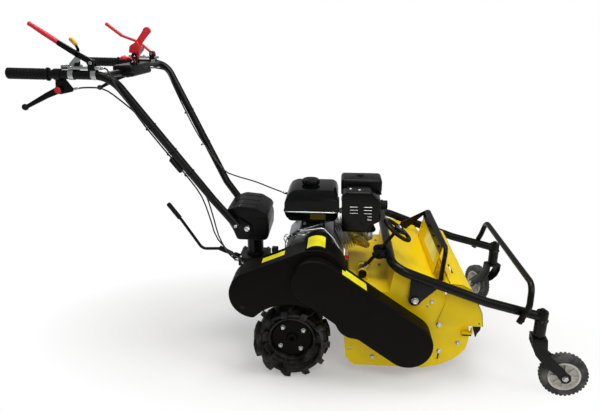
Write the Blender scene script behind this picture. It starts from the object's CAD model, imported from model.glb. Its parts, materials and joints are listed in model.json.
"""The hammer knife mower as it looks: fine pieces and finishes over the CAD frame.

Positions are written as in the part's source: x = 0 at the drive axle, y = 0 at the centre plane,
z = 0 at the ground, +X forward and -Y towards the belt covers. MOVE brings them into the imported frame.
"""

import json
import math

import bpy
from mathutils import Matrix, Vector, geometry


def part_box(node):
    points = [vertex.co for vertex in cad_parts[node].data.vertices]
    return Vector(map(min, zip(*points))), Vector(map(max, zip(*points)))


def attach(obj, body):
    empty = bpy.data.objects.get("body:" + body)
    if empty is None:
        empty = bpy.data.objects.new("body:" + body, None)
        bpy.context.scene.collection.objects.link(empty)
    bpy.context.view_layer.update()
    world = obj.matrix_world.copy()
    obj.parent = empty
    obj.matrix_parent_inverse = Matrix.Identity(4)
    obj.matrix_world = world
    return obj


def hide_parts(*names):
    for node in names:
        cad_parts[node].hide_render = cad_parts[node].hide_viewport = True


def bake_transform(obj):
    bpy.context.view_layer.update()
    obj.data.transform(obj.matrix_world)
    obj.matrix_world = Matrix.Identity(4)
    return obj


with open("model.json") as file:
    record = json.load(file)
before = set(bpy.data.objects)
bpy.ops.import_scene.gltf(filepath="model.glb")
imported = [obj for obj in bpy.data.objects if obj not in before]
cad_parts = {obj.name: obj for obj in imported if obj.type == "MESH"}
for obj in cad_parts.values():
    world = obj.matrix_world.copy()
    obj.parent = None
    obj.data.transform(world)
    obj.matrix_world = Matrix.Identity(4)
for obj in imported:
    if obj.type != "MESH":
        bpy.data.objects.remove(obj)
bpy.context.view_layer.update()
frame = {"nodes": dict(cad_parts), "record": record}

column_low, column_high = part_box("steering_column")
MOVE = Vector((column_low.x + 0.196, (column_low.y + column_high.y) / 2, 0))

NEAR, FAR = -1, 1
WORD = {NEAR: "near", FAR: "far"}


# Colour and materials

def hue(code):
    """An sRGB hex colour as linear light."""
    made = []
    for k in (0, 2, 4):
        c = int(code[k : k + 2], 16) / 255
        made.append(c / 12.92 if c <= 0.04045 else ((c + 0.055) / 1.055) ** 2.4)
    return (*made, 1.0)


def add(tree, kind, settings=None, links=None):
    """Adds one node, sets its properties and inputs, and links its inputs to other nodes' outputs."""
    made = tree.nodes.new(kind)
    for key, value in (settings or {}).items():
        if isinstance(key, str) and hasattr(made, key):
            setattr(made, key, value)
        else:
            made.inputs[key].default_value = value
    for key, source in (links or {}).items():
        tree.links.new(source, made.inputs[key])
    return made


def blank(name):
    """A new material for one of the CAD's slots, with its Principled shader and Object coordinates."""
    made = bpy.data.materials.new(name)
    made.use_nodes = True
    tree = made.node_tree
    return made, tree, tree.nodes["Principled BSDF"], add(tree, "ShaderNodeTexCoord").outputs["Object"]


def ramp(tree, source, stops):
    """A colour ramp with stops of (place, colour) read from a value."""
    made = add(tree, "ShaderNodeValToRGB", links={"Fac": source})
    made.color_ramp.elements[0].position, made.color_ramp.elements[0].color = stops[0]
    made.color_ramp.elements[1].position, made.color_ramp.elements[1].color = stops[-1]
    for place, colour in stops[1:-1]:
        made.color_ramp.elements.new(place).color = colour
    return made.outputs["Color"]


def noise(tree, place, scale, detail, rough=0.5):
    """The value of a noise texture laid over a piece."""
    look = {"Scale": scale, "Detail": detail, "Roughness": rough}
    return add(tree, "ShaderNodeTexNoise", look, {"Vector": place}).outputs["Fac"]


def grey(value):
    return (value, value, value, 1)


def relief(tree, shader, height, strength, distance):
    """A bump from a pattern's height."""
    bump = add(tree, "ShaderNodeBump", {"Strength": strength, "Distance": distance}, {"Height": height})
    tree.links.new(bump.outputs["Normal"], shader.inputs["Normal"])


def uneven_gloss(tree, shader, source, first, last):
    """Roughness between two (place, value) stops of a pattern."""
    gloss = ramp(tree, source, [(first[0], grey(first[1])), (last[0], grey(min(1, last[1])))])
    tree.links.new(gloss, shader.inputs["Roughness"])


def paint(name, code, dusty, rough, peel, level, dust, tone=0.9):
    """Sprayed or stoved enamel on sheet steel: fine orange peel, faint tone clouds, dust in places."""
    made, tree, shader, place = blank(name)
    clouds = noise(tree, place, 9.0, 4.0, 0.6)
    fine = noise(tree, place, 650.0, 2.0)
    specks = noise(tree, place, 160.0, 6.0, 0.7)
    base, soiled = hue(code), hue(dusty)
    darker = tuple(c * tone for c in base[:3]) + (1,)
    body = ramp(tree, clouds, [(0.35, darker), (0.65, base)])
    mask = ramp(tree, specks, [(0.62, grey(0)), (0.8, grey(dust))])
    mixed = add(tree, "ShaderNodeMixRGB", {"Color2": soiled}, {"Fac": mask, "Color1": body})
    tree.links.new(mixed.outputs["Color"], shader.inputs["Base Color"])
    uneven_gloss(tree, shader, specks, (0.3, rough * 0.88), (0.75, rough * 1.35))
    relief(tree, shader, fine, peel, 0.0004)
    shader.inputs["Specular IOR Level"].default_value = level
    return made


def moulded(name, code, rough, grain, size=900.0, wear=None, level=0.5):
    """Injection-moulded plastic: spark-eroded grain of about 1 mm and soft flow clouds in the colour."""
    made, tree, shader, place = blank(name)
    grainy = add(tree, "ShaderNodeTexVoronoi", {"Scale": size}, {"Vector": place})
    clouds = noise(tree, place, 14.0, 5.0)
    base = hue(code)
    low = tuple(c * 0.82 for c in base[:3]) + (1,)
    high = hue(wear) if wear else tuple(min(1, c * 1.12) for c in base[:3]) + (1,)
    tree.links.new(ramp(tree, clouds, [(0.3, low), (0.5, base), (0.72, high)]), shader.inputs["Base Color"])
    uneven_gloss(tree, shader, clouds, (0.3, rough * 0.9), (0.7, rough * 1.2))
    relief(tree, shader, grainy.outputs["Distance"], grain, 0.0003)
    shader.inputs["Specular IOR Level"].default_value = level
    return made


def rubber(name, code, dust, rough, amount, level=0.3):
    """Carbon-black rubber: matt, finely pitted, with pale dust where it has rolled or rubbed."""
    made, tree, shader, place = blank(name)
    pits = noise(tree, place, 420.0, 5.0, 0.65)
    patches = noise(tree, place, 22.0, 7.0, 0.62)
    mask = ramp(tree, patches, [(0.42, grey(0)), (0.72, grey(amount))])
    mixed = add(tree, "ShaderNodeMixRGB", {"Color1": hue(code), "Color2": hue(dust)}, {"Fac": mask})
    tree.links.new(mixed.outputs["Color"], shader.inputs["Base Color"])
    uneven_gloss(tree, shader, patches, (0.35, rough * 0.8), (0.7, rough * 1.2))
    relief(tree, shader, pits, 0.3, 0.0006)
    shader.inputs["Specular IOR Level"].default_value = level
    return made


def metal(name, code, rough, pits, size, shade, stretch=(1, 1, 1)):
    """Bare or plated metal: cast skin, turning marks or plating bloom, by the noise's size and stretch."""
    made, tree, shader, place = blank(name)
    turned = add(tree, "ShaderNodeMapping", {"Scale": stretch}, {"Vector": place})
    marks = noise(tree, turned.outputs["Vector"], size, 6.0, 0.6)
    bloom = noise(tree, place, 35.0, 4.0)
    base = hue(code)
    low = tuple(c * shade for c in base[:3]) + (1,)
    tree.links.new(ramp(tree, bloom, [(0.35, low), (0.62, base)]), shader.inputs["Base Color"])
    uneven_gloss(tree, shader, marks, (0.3, rough * 0.75), (0.7, rough * 1.3))
    relief(tree, shader, marks, pits, 0.0004)
    shader.inputs["Metallic"].default_value = 1.0
    return made


# Sprayed black on the belt covers: deep, faintly warm and almost without reflections
BLACK = paint("sprayed_satin_black", "0c0b09", "24211d", 0.44, 0.1, level=0.07, dust=0.16)
# Stoved black enamel of the engine's pressings: deep black with clear, narrow highlights
GLOSS = paint("stoved_black_enamel", "060707", "1c1b1a", 0.15, 0.04, level=0.18, dust=0.12)
# The tubes' powder coat: black, less gloss than the engine, so its highlights spread
TUBE_BLACK = paint("black_powder_coat", "0a0a0a", "262421", 0.28, 0.14, level=0.2, dust=0.2)
# Sprayed yellow enamel on the deck: strong warm yellow, glossy, a little darker in the clouds
YELLOW = paint("sprayed_yellow_enamel", "f2d103", "b3931a", 0.3, 0.05, level=0.22,
               tone=0.94, dust=0.18)
# Moulded red polypropylene of the levers: even red with a soft sheen
RED = moulded("moulded_red_polypropylene", "cf1f2c", 0.38, 0.08)
# Moulded black ABS of covers and boxes: dark grey-black with a fine grain
ABS = moulded("moulded_black_abs", "0b0b0c", 0.32, 0.08, level=0.16)
# Yellow acetal of the small lock lever
ACETAL = moulded("moulded_yellow_acetal", "d9a214", 0.4, 0.05)
# Drive tyres: black rubber, grey dust on the lugs
TYRE = rubber("moulded_black_tyre_rubber", "101011", "66645f", 0.6, 0.52, level=0.2)
# Grips and curtain: softer black rubber without much dust
GRIP = rubber("soft_black_grip_rubber", "0c0c0d", "2e2d2b", 0.58, 0.22, level=0.16)
# Caster tyres: grey solid rubber
GREY_TYRE = rubber("grey_solid_rubber", "303234", "807e79", 0.7, 0.55, level=0.2)
# Caster rims: pale moulded nylon
NYLON = moulded("moulded_pale_nylon", "c9c7c0", 0.48, 0.08, 700.0, wear="8f8c84")
# Die-cast aluminium of the engine: pale grey skin with sand-like pits
CAST = metal("die_cast_aluminium", "cfd1d3", 0.38, 0.2, 700.0, 0.78)
# Machined rims and bare pressed edges: brighter and smoother than the cast skin
BRIGHT_CAST = metal("machined_aluminium", "dfe1e3", 0.3, 0.08, 500.0, 0.85)
# Zinc-plated steel: bright, slightly blue, cloudy
ZINC = metal("bright_zinc_plate", "c9cccd", 0.24, 0.06, 180.0, 0.8)
# Blackened screw thread: dark, with a dull metal gleam on the crests
OXIDE = metal("black_oxide_steel", "232326", 0.36, 0.2, 260.0, 0.7)
# Turned steel of shafts, pulleys and knives: grey, with rings round the axle
STEEL = metal("turned_steel", "8c8f92", 0.34, 0.12, 220.0, 0.68, (1, 18, 1))
# V-belt: rubber with a woven jacket
BELT = rubber("v_belt_rubber", "1b1b1c", "3a3935", 0.8, 0.3)
# Cable jackets: extruded black PVC, smooth
JACKET = moulded("extruded_black_pvc", "0b0b0c", 0.34, 0.03, 400.0)
# Blank vinyl labels: flat yellow foil, slightly glossy
FOIL = moulded("yellow_vinyl_foil", "f3ea1c", 0.32, 0.02, 300.0)
# The sticker on the tank's shaded side: the same foil, dirtier
DIM_FOIL = moulded("dull_yellow_foil", "4d450a", 0.45, 0.02, 300.0, level=0.15)
# The guard panel's blank label: paler than the enamel round it
PALE_FOIL = moulded("pale_yellow_foil", "f8f29a", 0.4, 0.02, 300.0, level=0.2)
# Muffler: black heat paint, burnt brown-grey and dull
SCORCHED = paint("burnt_heat_resistant_paint", "141210", "4a3f36", 0.62, 0.2, level=0.2,
                 dust=0.5)
# Yellow chromate over zinc, on brackets by the engine
CHROMATE = metal("yellow_chromate_zinc", "cdb75c", 0.3, 0.08, 180.0, 0.75)
# Painted castings of the gearbox and bearings: black over a sandy cast skin
BLACK_CAST = paint("painted_black_casting", "0d0d0d", "33302c", 0.44, 0.55, level=0.2,
                   dust=0.35)
# Dark inside of openings
SOOT = rubber("sooty_dark_inside", "060606", "1c1a18", 0.9, 0.2)

BY_SLOT = {
    "black_enamel": BLACK,
    "yellow_enamel": YELLOW,
    "red_plastic": RED,
    "black_plastic": ABS,
    "black_rubber": TYRE,
    "grey_tyre": GREY_TYRE,
    "grey_rim": NYLON,
    "cast_aluminium": CAST,
    "zinc_steel": ZINC,
    "steel": STEEL,
    "belt_rubber": BELT,
    "cable_black": JACKET,
    "yellow_plastic": ACETAL,
}
OWN = {
    "hood_curtain": GRIP,
    "fuel_tank": GLOSS,
    "muffler_guard": GLOSS,
    "muffler": GLOSS,
    "recoil_housing": GLOSS,
    "grip_near": GRIP,
    "grip_far": GRIP,
    "handlebar": TUBE_BLACK,
    "caster_frame": TUBE_BLACK,
    "bumper_hoop": TUBE_BLACK,
    "guard_hoop": TUBE_BLACK,
    "gear_lever": TUBE_BLACK,
}
SLOT_OF = {entry["node"]: entry["material_slot"] for entry in frame["record"]["subparts"]}


def dress_nodes():
    """Every CAD node gets the finish of its own slot."""
    for name, item in frame["nodes"].items():
        finish = OWN.get(name, BY_SLOT[SLOT_OF[name]])
        if not item.data.materials:
            item.data.materials.append(finish)
        for k in range(len(item.material_slots)):
            item.material_slots[k].material = finish


# Modelling, by hand

def clear_selection():
    """Leaves edit mode and selects nothing."""
    if bpy.context.object and bpy.context.object.mode != "OBJECT":
        bpy.ops.object.mode_set(mode="OBJECT")
    bpy.ops.object.select_all(action="DESELECT")


def only(made):
    """Makes a piece the one that is selected and active."""
    clear_selection()
    bpy.context.view_layer.objects.active = made
    made.select_set(True)


def seed(name, at):
    """A mesh with one vertex, in edit mode, ready to be extruded."""
    clear_selection()
    bpy.ops.mesh.primitive_plane_add(size=0.01, location=at)
    made = bpy.context.object
    made.name = name
    bpy.ops.object.mode_set(mode="EDIT")
    bpy.ops.mesh.select_mode(type="VERT")
    bpy.ops.mesh.select_all(action="SELECT")
    bpy.ops.mesh.merge(type="CENTER")
    return made


def draw(points):
    """Extrudes the seed vertex from point to point."""
    for before, after in zip(points, points[1:]):
        step = [b - a for a, b in zip(before, after)]
        bpy.ops.mesh.extrude_vertices_move(TRANSFORM_OT_translate={"value": step})


def outward():
    """Joins doubled corners and turns every face outward."""
    bpy.ops.mesh.select_mode(type="VERT")
    bpy.ops.mesh.select_all(action="SELECT")
    bpy.ops.mesh.remove_doubles(threshold=0.00002)
    bpy.ops.mesh.normals_make_consistent(inside=False)


def round_edges(width, segments, sharper=30):
    """Bevels the edges that are sharper than an angle."""
    if width:
        bpy.ops.mesh.select_all(action="DESELECT")
        bpy.ops.mesh.select_mode(type="EDGE")
        bpy.ops.mesh.edges_select_sharp(sharpness=math.radians(sharper))
        bpy.ops.mesh.bevel(offset=width, segments=segments, affect="EDGES", clamp_overlap=True)


def prism(name, points, step, width=0.0, segments=1, sharper=30):
    """A line of points, closed to a face and pulled out by a step, with rounded edges."""
    made = seed(name, points[0])
    draw(points)
    bpy.ops.mesh.select_all(action="SELECT")
    bpy.ops.mesh.edge_face_add()
    bpy.ops.mesh.extrude_region_move(TRANSFORM_OT_translate={"value": step})
    outward()
    round_edges(width, segments, sharper)
    bpy.ops.object.mode_set(mode="OBJECT")
    bpy.ops.object.transform_apply(location=True, rotation=True, scale=True)
    return made


def bar_chain(name, stations, low, high, width, segments, sharper):
    """Flat bars from station to station, each station a place (x, z) with a half width."""
    return [plate(name, round_hull([start, end], 28), low, high, width, segments, sharper)
            for start, end in zip(stations, stations[1:])]


def plate(name, outline, low, high, width=0.0008, segments=1, sharper=30):
    """A flat piece from an outline of (x, z) points, between two values of Y in either order."""
    low, high = sorted((low, high))
    return prism(name, [(x, low, z) for x, z in outline], (0, high - low, 0), width, segments, sharper)


def block(name, low, high, width=0.002, segments=2):
    """A block between two corners with rounded edges."""
    clear_selection()
    middle = [(a + b) / 2 for a, b in zip(low, high)]
    size = [b - a for a, b in zip(low, high)]
    bpy.ops.mesh.primitive_cube_add(size=1, location=middle, scale=size)
    made = bpy.context.object
    made.name = name
    bpy.ops.object.transform_apply(location=True, rotation=True, scale=True)
    bpy.ops.object.mode_set(mode="EDIT")
    round_edges(width, segments)
    bpy.ops.object.mode_set(mode="OBJECT")
    return made


def lathe(name, profile, centre, axis=(0, 1, 0), steps=48, closed=False):
    """A turned piece: (radius, height) points along an axis through the centre."""
    spots = [(radius, 0, height) for radius, height in profile]
    if closed:
        spots.append(spots[0])
    made = seed(name, spots[0])
    made.location = (0, 0, 0)
    bpy.ops.object.mode_set(mode="OBJECT")
    made.data.vertices[0].co = spots[0]
    bpy.ops.object.mode_set(mode="EDIT")
    draw(spots)
    bpy.ops.mesh.select_all(action="SELECT")
    bpy.ops.mesh.spin(steps=steps, angle=math.tau, center=(0, 0, 0), axis=(0, 0, 1))
    outward()
    bpy.ops.object.mode_set(mode="OBJECT")
    turn = Vector((0, 0, 1)).rotation_difference(Vector(axis)).to_matrix().to_4x4()
    made.data.transform(Matrix.Translation(centre) @ turn)
    return made


def lathe_towards(name, profile, start, end, steps=28):
    """A turned piece whose axis points from one point to another."""
    return lathe(name, profile, start, (Vector(end) - Vector(start)).normalized(), steps)


def rod(name, start, end, radius, edge=0.0006, steps=20):
    """A round bar between two points."""
    length = (Vector(end) - Vector(start)).length
    profile = [(0, 0), (radius - edge, 0), (radius, edge), (radius, length - edge), (radius - edge, length),
               (0, length)]
    return lathe_towards(name, profile, start, end, steps)


def rounded(corners, radius, steps=10):
    """A path whose corners are arcs."""
    corners = [Vector(c) for c in corners]
    path = [corners[0]]
    for before, corner, after in zip(corners, corners[1:], corners[2:]):
        back, on = (before - corner).normalized(), (after - corner).normalized()
        half = back.angle(on) / 2
        reach = min(radius / math.tan(half), 0.48 * (before - corner).length, 0.48 * (after - corner).length)
        centre = corner + (back + on).normalized() * (reach / math.cos(half))
        first, last = corner + back * reach - centre, corner + on * reach - centre
        length = first.length
        path += [centre + first.slerp(last, k / steps).normalized() * length for k in range(steps + 1)]
    return path + [corners[-1]]


def cross_bar(name, at, low, high, radius, edge=0.0006, steps=20):
    """A round bar along Y at a place (x, z), between two values of Y."""
    return rod(name, (at[0], low, at[1]), (at[0], high, at[1]), radius, edge, steps)


def pipe(name, points, radius, sides=4, caps=True, loop=False):
    """A round tube or wire along a path."""
    clear_selection()
    bpy.ops.curve.primitive_bezier_curve_add()
    made = bpy.context.object
    made.name = name
    curve = made.data
    curve.splines.clear()
    spline = curve.splines.new("POLY")
    spline.points.add(len(points) - 1)
    for spot, point in zip(spline.points, points):
        spot.co = (*point, 1)
    spline.use_cyclic_u = loop
    curve.dimensions = "3D"
    curve.bevel_depth = radius
    curve.bevel_resolution = sides
    curve.use_fill_caps = caps
    bpy.ops.object.convert(target="MESH")
    made = bpy.context.object
    bpy.ops.object.mode_set(mode="EDIT")
    outward()
    bpy.ops.object.mode_set(mode="OBJECT")
    return made


def smooth_path(points, count):
    """Points of a smooth curve through a route's points."""
    points = [Vector(p) for p in points]
    ends = [points[0] * 2 - points[1]] + points + [points[-1] * 2 - points[-2]]
    made = []
    for k in range(count):
        place = k / (count - 1) * (len(points) - 1)
        span = min(int(place), len(points) - 2)
        t = place - span
        a, b, c, d = ends[span : span + 4]
        square, cube = 2 * a - 5 * b + 4 * c - d, 3 * b - 3 * c + d - a
        made.append(0.5 * (2 * b + (c - a) * t + square * t**2 + cube * t**3))
    return made


def arc(centre, radius, start, end, steps):
    """Points on a circle between two turns in degrees."""
    turns = [math.radians(start + (end - start) * k / steps) for k in range(steps + 1)]
    return [(centre[0] + radius * math.cos(a), centre[1] + radius * math.sin(a)) for a in turns]


def round_hull(circles, steps=48):
    """The tight outline round some circles."""
    points = []
    for centre, radius in circles:
        points += arc(centre, radius, 0, 360 - 360 / steps, steps - 1)
    return [points[k] for k in geometry.convex_hull_2d(points)]


def finish(made, body, material, angle=40, replaces=(), slot=None):
    """Applies the piece's place, moves it into the frame, shades it, paints it and hangs it on its body."""
    only(made)
    bpy.ops.object.transform_apply(location=True, rotation=True, scale=True)
    for modifier in list(made.modifiers):
        bpy.ops.object.modifier_apply(modifier=modifier.name)
    made.data.transform(Matrix.Translation(MOVE))
    bpy.ops.object.shade_smooth_by_angle(angle=math.radians(angle))
    made.data.materials.clear()
    made.data.materials.append(material)
    if body:
        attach(made, body)
    if replaces:
        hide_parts(*replaces)
    return made


def merge(name, pieces):
    """Joins pieces of one material into one object."""
    clear_selection()
    for piece in pieces:
        piece.select_set(True)
    bpy.context.view_layer.objects.active = pieces[0]
    bpy.ops.object.transform_apply(location=True, rotation=True, scale=True)
    bpy.ops.object.join()
    made = bpy.context.object
    made.name = name
    return made


def copy_of(piece, name, matrix):
    """A copy with its own mesh, placed by a matrix."""
    made = piece.copy()
    made.data = piece.data.copy()
    made.name = name
    bpy.context.scene.collection.objects.link(made)
    made.data.transform(matrix)
    if matrix.determinant() < 0:
        made.data.flip_normals()
    return made


def spin_copies(form, count, place=Matrix(), axis="Y", start=0.0):
    """Copies of a form at even turns round a placed axis, in the form's stead."""
    made = []
    for k in range(count):
        turn = Matrix.Rotation(math.tau * (k + start) / count, 4, axis)
        made.append(copy_of(form, form.name, place @ turn))
    bpy.data.objects.remove(form)
    return made


# Shared lines, the same as the part's

GRIP_END_X, GRIP_Z, HANDLE_SPREAD = -0.878, 1.0755, 0.276
BEND_X, BEND_Z = -0.553, 1.07
KNEE, FOOT = (-0.29, 0.12, 0.623), (-0.212, 0.105, 0.52)
HANDLE_TUBE, TUBE_RADIUS, BUMPER_RADIUS = 0.014, 0.016, 0.0105
# Pivots across the machine, as (x, z)
FRAME_PIVOT, HINGE, TILT_PIN, PERCH = (0.422, 0.337), (0.536, 0.388), (-0.176, 0.506), (-0.722, 1.026)
BAR_PIVOT, LOCK_PIVOT = (-0.605, 1.108), (-0.657, 1.1)
FLAT_PIVOT, THROTTLE_PIVOT = (-0.572, 1.112), (-0.542, 1.1)
COLUMN_X, DECK_FACE, HINGE_ROWS = -0.162, 0.264, (-0.15, 0.15)
# Planes across the machine, from the deck's side plate
SIDE_TUBE_Y, PIVOT_FACE = DECK_FACE + 0.0255, DECK_FACE + 0.0245
DRIVE_COVER_Y, DRUM_COVER_Y = (-DECK_FACE - 0.036, -0.2), (-DECK_FACE - 0.076, -DECK_FACE - 0.0003)
DRIVE_BELT_Y, DRUM_BELT_Y = -DECK_FACE + 0.014, -DECK_FACE - 0.056
# Wheels, casters, the height screw's anchor and the pulleys' radii
WHEEL_RADIUS, WHEEL_Y, WHEEL_WIDTH, LUGS = 0.14, 0.233, 0.1, 11
STEM_X, STEM_TOP, STEM_BOTTOM = 0.844, 0.316, 0.222
CASTER_RADIUS, CASTER_TRAIL, CASTER_WIDTH, CASTER_RIM = 0.08, 0.098, 0.038, 0.054
CASTER_TURN = {NEAR: -6, FAR: 108}
ANCHOR = Vector((0.248, -0.15, 0.38))
CRANK_PULLEY, INPUT_PULLEY, DRUM_PULLEY = 0.036, 0.056, 0.05
JACK_AIM = Vector((0.596, 0, 0.803)).normalized()


def hex_bolt(name, at, aim, size=0.01, head=0.0065, washer=True, stud=0.0):
    """A hexagon head with its washer, standing on a surface at a point."""
    at, aim = Vector(at), Vector(aim).normalized()
    pieces = []
    lift = 0.0016 if washer else 0.0
    if washer:
        ring = [(0, 0), (size * 0.98, 0), (size * 1.05, 0.0004), (size * 1.05, 0.0014),
                (size * 0.98, 0.0018), (0, 0.0018)]
        pieces.append(lathe(name + "_washer", ring, at - aim * 0.0002, aim, 24))
    across = size * 0.96
    profile = [(0, lift - 0.0004), (across, lift - 0.0004), (across, lift + head * 0.8),
               (across * 0.86, lift + head), (across * 0.6, lift + head),
               (across * 0.52, lift + head - 0.0007), (0, lift + head - 0.0007)]
    pieces.append(lathe(name, profile, at, aim, 6))
    if stud:
        pieces.append(rod(name + "_stud", at + aim * lift, at + aim * (lift + head + stud), size * 0.5,
                          0.0006, 14))
    return pieces


def across_machine(corner):
    """A route from the near side's corners over to the far side's, by a function of the side."""
    return corner(NEAR) + corner(FAR)[::-1]


def bolt_ring(name, centre, radius, count, start, side, size, head, washer=True):
    """Bolts on a circle round an axis along Y, the first at a turn in degrees."""
    made = []
    for x, z in arc((centre[0], centre[2]), radius, start, start + 360, count)[:-1]:
        made += hex_bolt(name, (x, centre[1], z), (0, side, 0), size, head, washer)
    return made


# Drive wheels

def drive_wheels():
    """Tyres with bevelled chevron lugs, and dished discs with four bolts."""
    half = WHEEL_WIDTH / 2
    carcass = [(0.1095, -0.0458), (0.1195, -0.045), (0.1238, -0.038), (0.1252, -0.012), (0.1252, 0.012),
               (0.1238, 0.038), (0.1195, 0.045), (0.1095, 0.0458), (0.1078, 0.043), (0.108, 0.015),
               (0.102, 0.009), (0.088, 0.008), (0.0855, 0.02), (0.0784, 0.02), (0.0778, 0.018),
               (0.0778, -0.011), (0.0784, -0.013), (0.0855, -0.013), (0.088, -0.002), (0.102, -0.003),
               (0.108, -0.009), (0.1078, -0.043)]
    tyre = lathe("tyre_carcass", carcass, (0, 0, 0), (0, 1, 0), 72, closed=True)
    lug = tyre_lug(half)
    other = copy_of(lug, "lug", Matrix.Scale(-1, 4, (0, 1, 0)))
    pieces = [tyre] + spin_copies(lug, LUGS) + spin_copies(other, LUGS, start=0.5)
    shape = [(0.085, -0.008), (0.093, -0.0115), (0.1, -0.018), (0.105, -0.026), (0.1086, -0.036),
             (0.1086, 0.036), (0.105, 0.026), (0.1, 0.018), (0.093, 0.0115), (0.085, 0.008)]
    pieces += spin_copies(slab("tyre_web", shape, -0.0024, 0.0024, 0.001, 2, 20), 12, start=0.5)
    whole = merge("drive_tyre", pieces)
    for side in (NEAR, FAR):
        spot = Matrix.Translation((0, side * WHEEL_Y, WHEEL_RADIUS))
        made = copy_of(whole, "tyre_" + WORD[side], spot)
        finish(made, "wheel_" + WORD[side], TYRE, 32, ["drive_tyre_" + WORD[side]])
        drive_disc(side)
    bpy.data.objects.remove(whole)


def tyre_lug(half):
    """One lug: a bar from the tread's middle, slanting out over the shoulder and down the side wall."""
    low, high, shoulder = 0.1215, 0.14, 0.1335
    rows = ((0.0035, 0.0, low, high), (half * 0.55, 4.5, low, high - 0.0003),
            (half, 11.0, low - 0.004, shoulder), (half + 0.0002, 12.0, 0.108, 0.122))
    clear_selection()
    bpy.ops.mesh.primitive_plane_add(size=0.01)
    made = bpy.context.object
    made.name = "lug_form"
    bpy.ops.object.mode_set(mode="EDIT")
    for _ in range(3):
        bpy.ops.mesh.extrude_region_move(TRANSFORM_OT_translate={"value": (0, 0, 0.01)})
    bpy.ops.object.mode_set(mode="OBJECT")
    levels = sorted({round(v.co.z, 4) for v in made.data.vertices})
    spread = 5.2
    for vertex in made.data.vertices:
        y, turn, inner, outer = rows[levels.index(round(vertex.co.z, 4))]
        first = vertex.co.x < 0
        top = vertex.co.y > 0
        narrow = 0.84 if top else 1.0
        angle = math.radians(270 + turn + (-spread if first else spread) * narrow)
        radius = outer if top else inner
        vertex.co = (radius * math.cos(angle), y, radius * math.sin(angle))
    bpy.ops.object.mode_set(mode="EDIT")
    outward()
    round_edges(0.0034, 3, 25)
    bpy.ops.object.mode_set(mode="OBJECT")
    return made


def drive_disc(side):
    """The wheel disc: rolled edge, dished face, hub cap and four bright bolts."""
    word = WORD[side]
    face = side * (WHEEL_Y + WHEEL_WIDTH / 2 - 0.052)
    profile = [(0, 0.0015), (0.0095, 0.0015), (0.01, 0.011), (0.0165, 0.0112), (0.0195, 0.0085),
               (0.0205, 0.004), (0.036, 0.0034), (0.04, 0.0046), (0.064, 0.0046), (0.069, 0.0056),
               (0.0712, 0.0046), (0.0716, 0.0), (0.0716, -0.006), (0.0777, -0.006), (0.0777, -0.014),
               (0.06, -0.014), (0.058, -0.006), (0.024, -0.007), (0.02, -0.028), (0, -0.028)]
    disc = lathe("wheel_disc_" + word, profile, (0, face, WHEEL_RADIUS), (0, side, 0), 56)
    finish(disc, "wheel_" + word, BLACK, 35, ["drive_hub_" + word])
    bolts = bolt_ring("wheel_bolt", (0, face + side * 0.0046, WHEEL_RADIUS), 0.053, 4, 38, side, 0.0082,
                      0.0056)
    finish(merge("wheel_bolts_" + word, bolts), "wheel_" + word, ZINC, 30)


# Casters

def trail_turn(side):
    """A caster's place on its stem, turned as the photograph shows it."""
    turn = Matrix.Rotation(math.radians(CASTER_TURN[side]), 4, "Z")
    return Matrix.Translation((STEM_X, side * SIDE_TUBE_Y, 0)) @ turn


def casters():
    """Knobbly grey tyres on ribbed nylon rims, in pressed forks with weld-on crowns."""
    half = CASTER_WIDTH / 2
    tread = [(CASTER_RIM, -half + 0.003), (0.064, -half), (0.0725, -half + 0.001), (0.0768, -half * 0.62),
             (0.0776, 0), (0.0768, half * 0.62), (0.0725, half - 0.001), (0.064, half),
             (CASTER_RIM, half - 0.003)]
    axle = (CASTER_TRAIL, 0, CASTER_RADIUS)
    for side in (NEAR, FAR):
        word = WORD[side]
        wheel_body, fork_body = "caster_wheel_" + word, "caster_" + word
        place = trail_turn(side)
        pieces = [lathe("caster_tread", tread, axle, (0, 1, 0), 64, closed=True)]
        for row, lift, lean in ((-0.0118, -0.0018, 0), (0.0, 0.0, 0.5), (0.0118, -0.0018, 0)):
            low, high = (-0.0042, row - 0.0052, 0.0745 + lift), (0.0042, row + 0.0052, 0.0799 + lift)
            form = block("tread_block", low, high, 0.0012, 1)
            pieces += spin_copies(form, 34, Matrix.Translation(axle), start=lean)
        tyre = merge("caster_tyre_" + word + "_fine", pieces)
        tyre.data.transform(place)
        finish(tyre, wheel_body, GREY_TYRE, 35, ["caster_tyre_" + word])
        outer = CASTER_RIM - 0.0004
        dish = [(0.0068, -0.0195), (0.0135, -0.0195), (0.015, -0.018), (0.0155, -0.0085), (0.03, -0.0065),
                (0.043, -0.0085), (0.0475, -0.0165), (0.0535, -0.0165), (outer, -0.015), (outer, 0.015),
                (0.0535, 0.0165), (0.0475, 0.0165), (0.043, 0.0085), (0.03, 0.0065), (0.0155, 0.0085),
                (0.015, 0.018), (0.0135, 0.0195), (0.0068, 0.0195)]
        parts = [lathe("rim_dish", dish, axle, (0, 1, 0), 48, closed=True)]
        rib = block("rim_rib", (0.0145, -0.0135, -0.0011), (0.047, 0.0135, 0.0011), 0.0007, 1)
        parts += spin_copies(rib, 8, Matrix.Translation(axle))
        rim = merge("caster_rim_" + word + "_fine", parts)
        rim.data.transform(place)
        finish(rim, wheel_body, NYLON, 35, ["caster_rim_" + word])
        caster_fork(side, place, fork_body)


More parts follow.
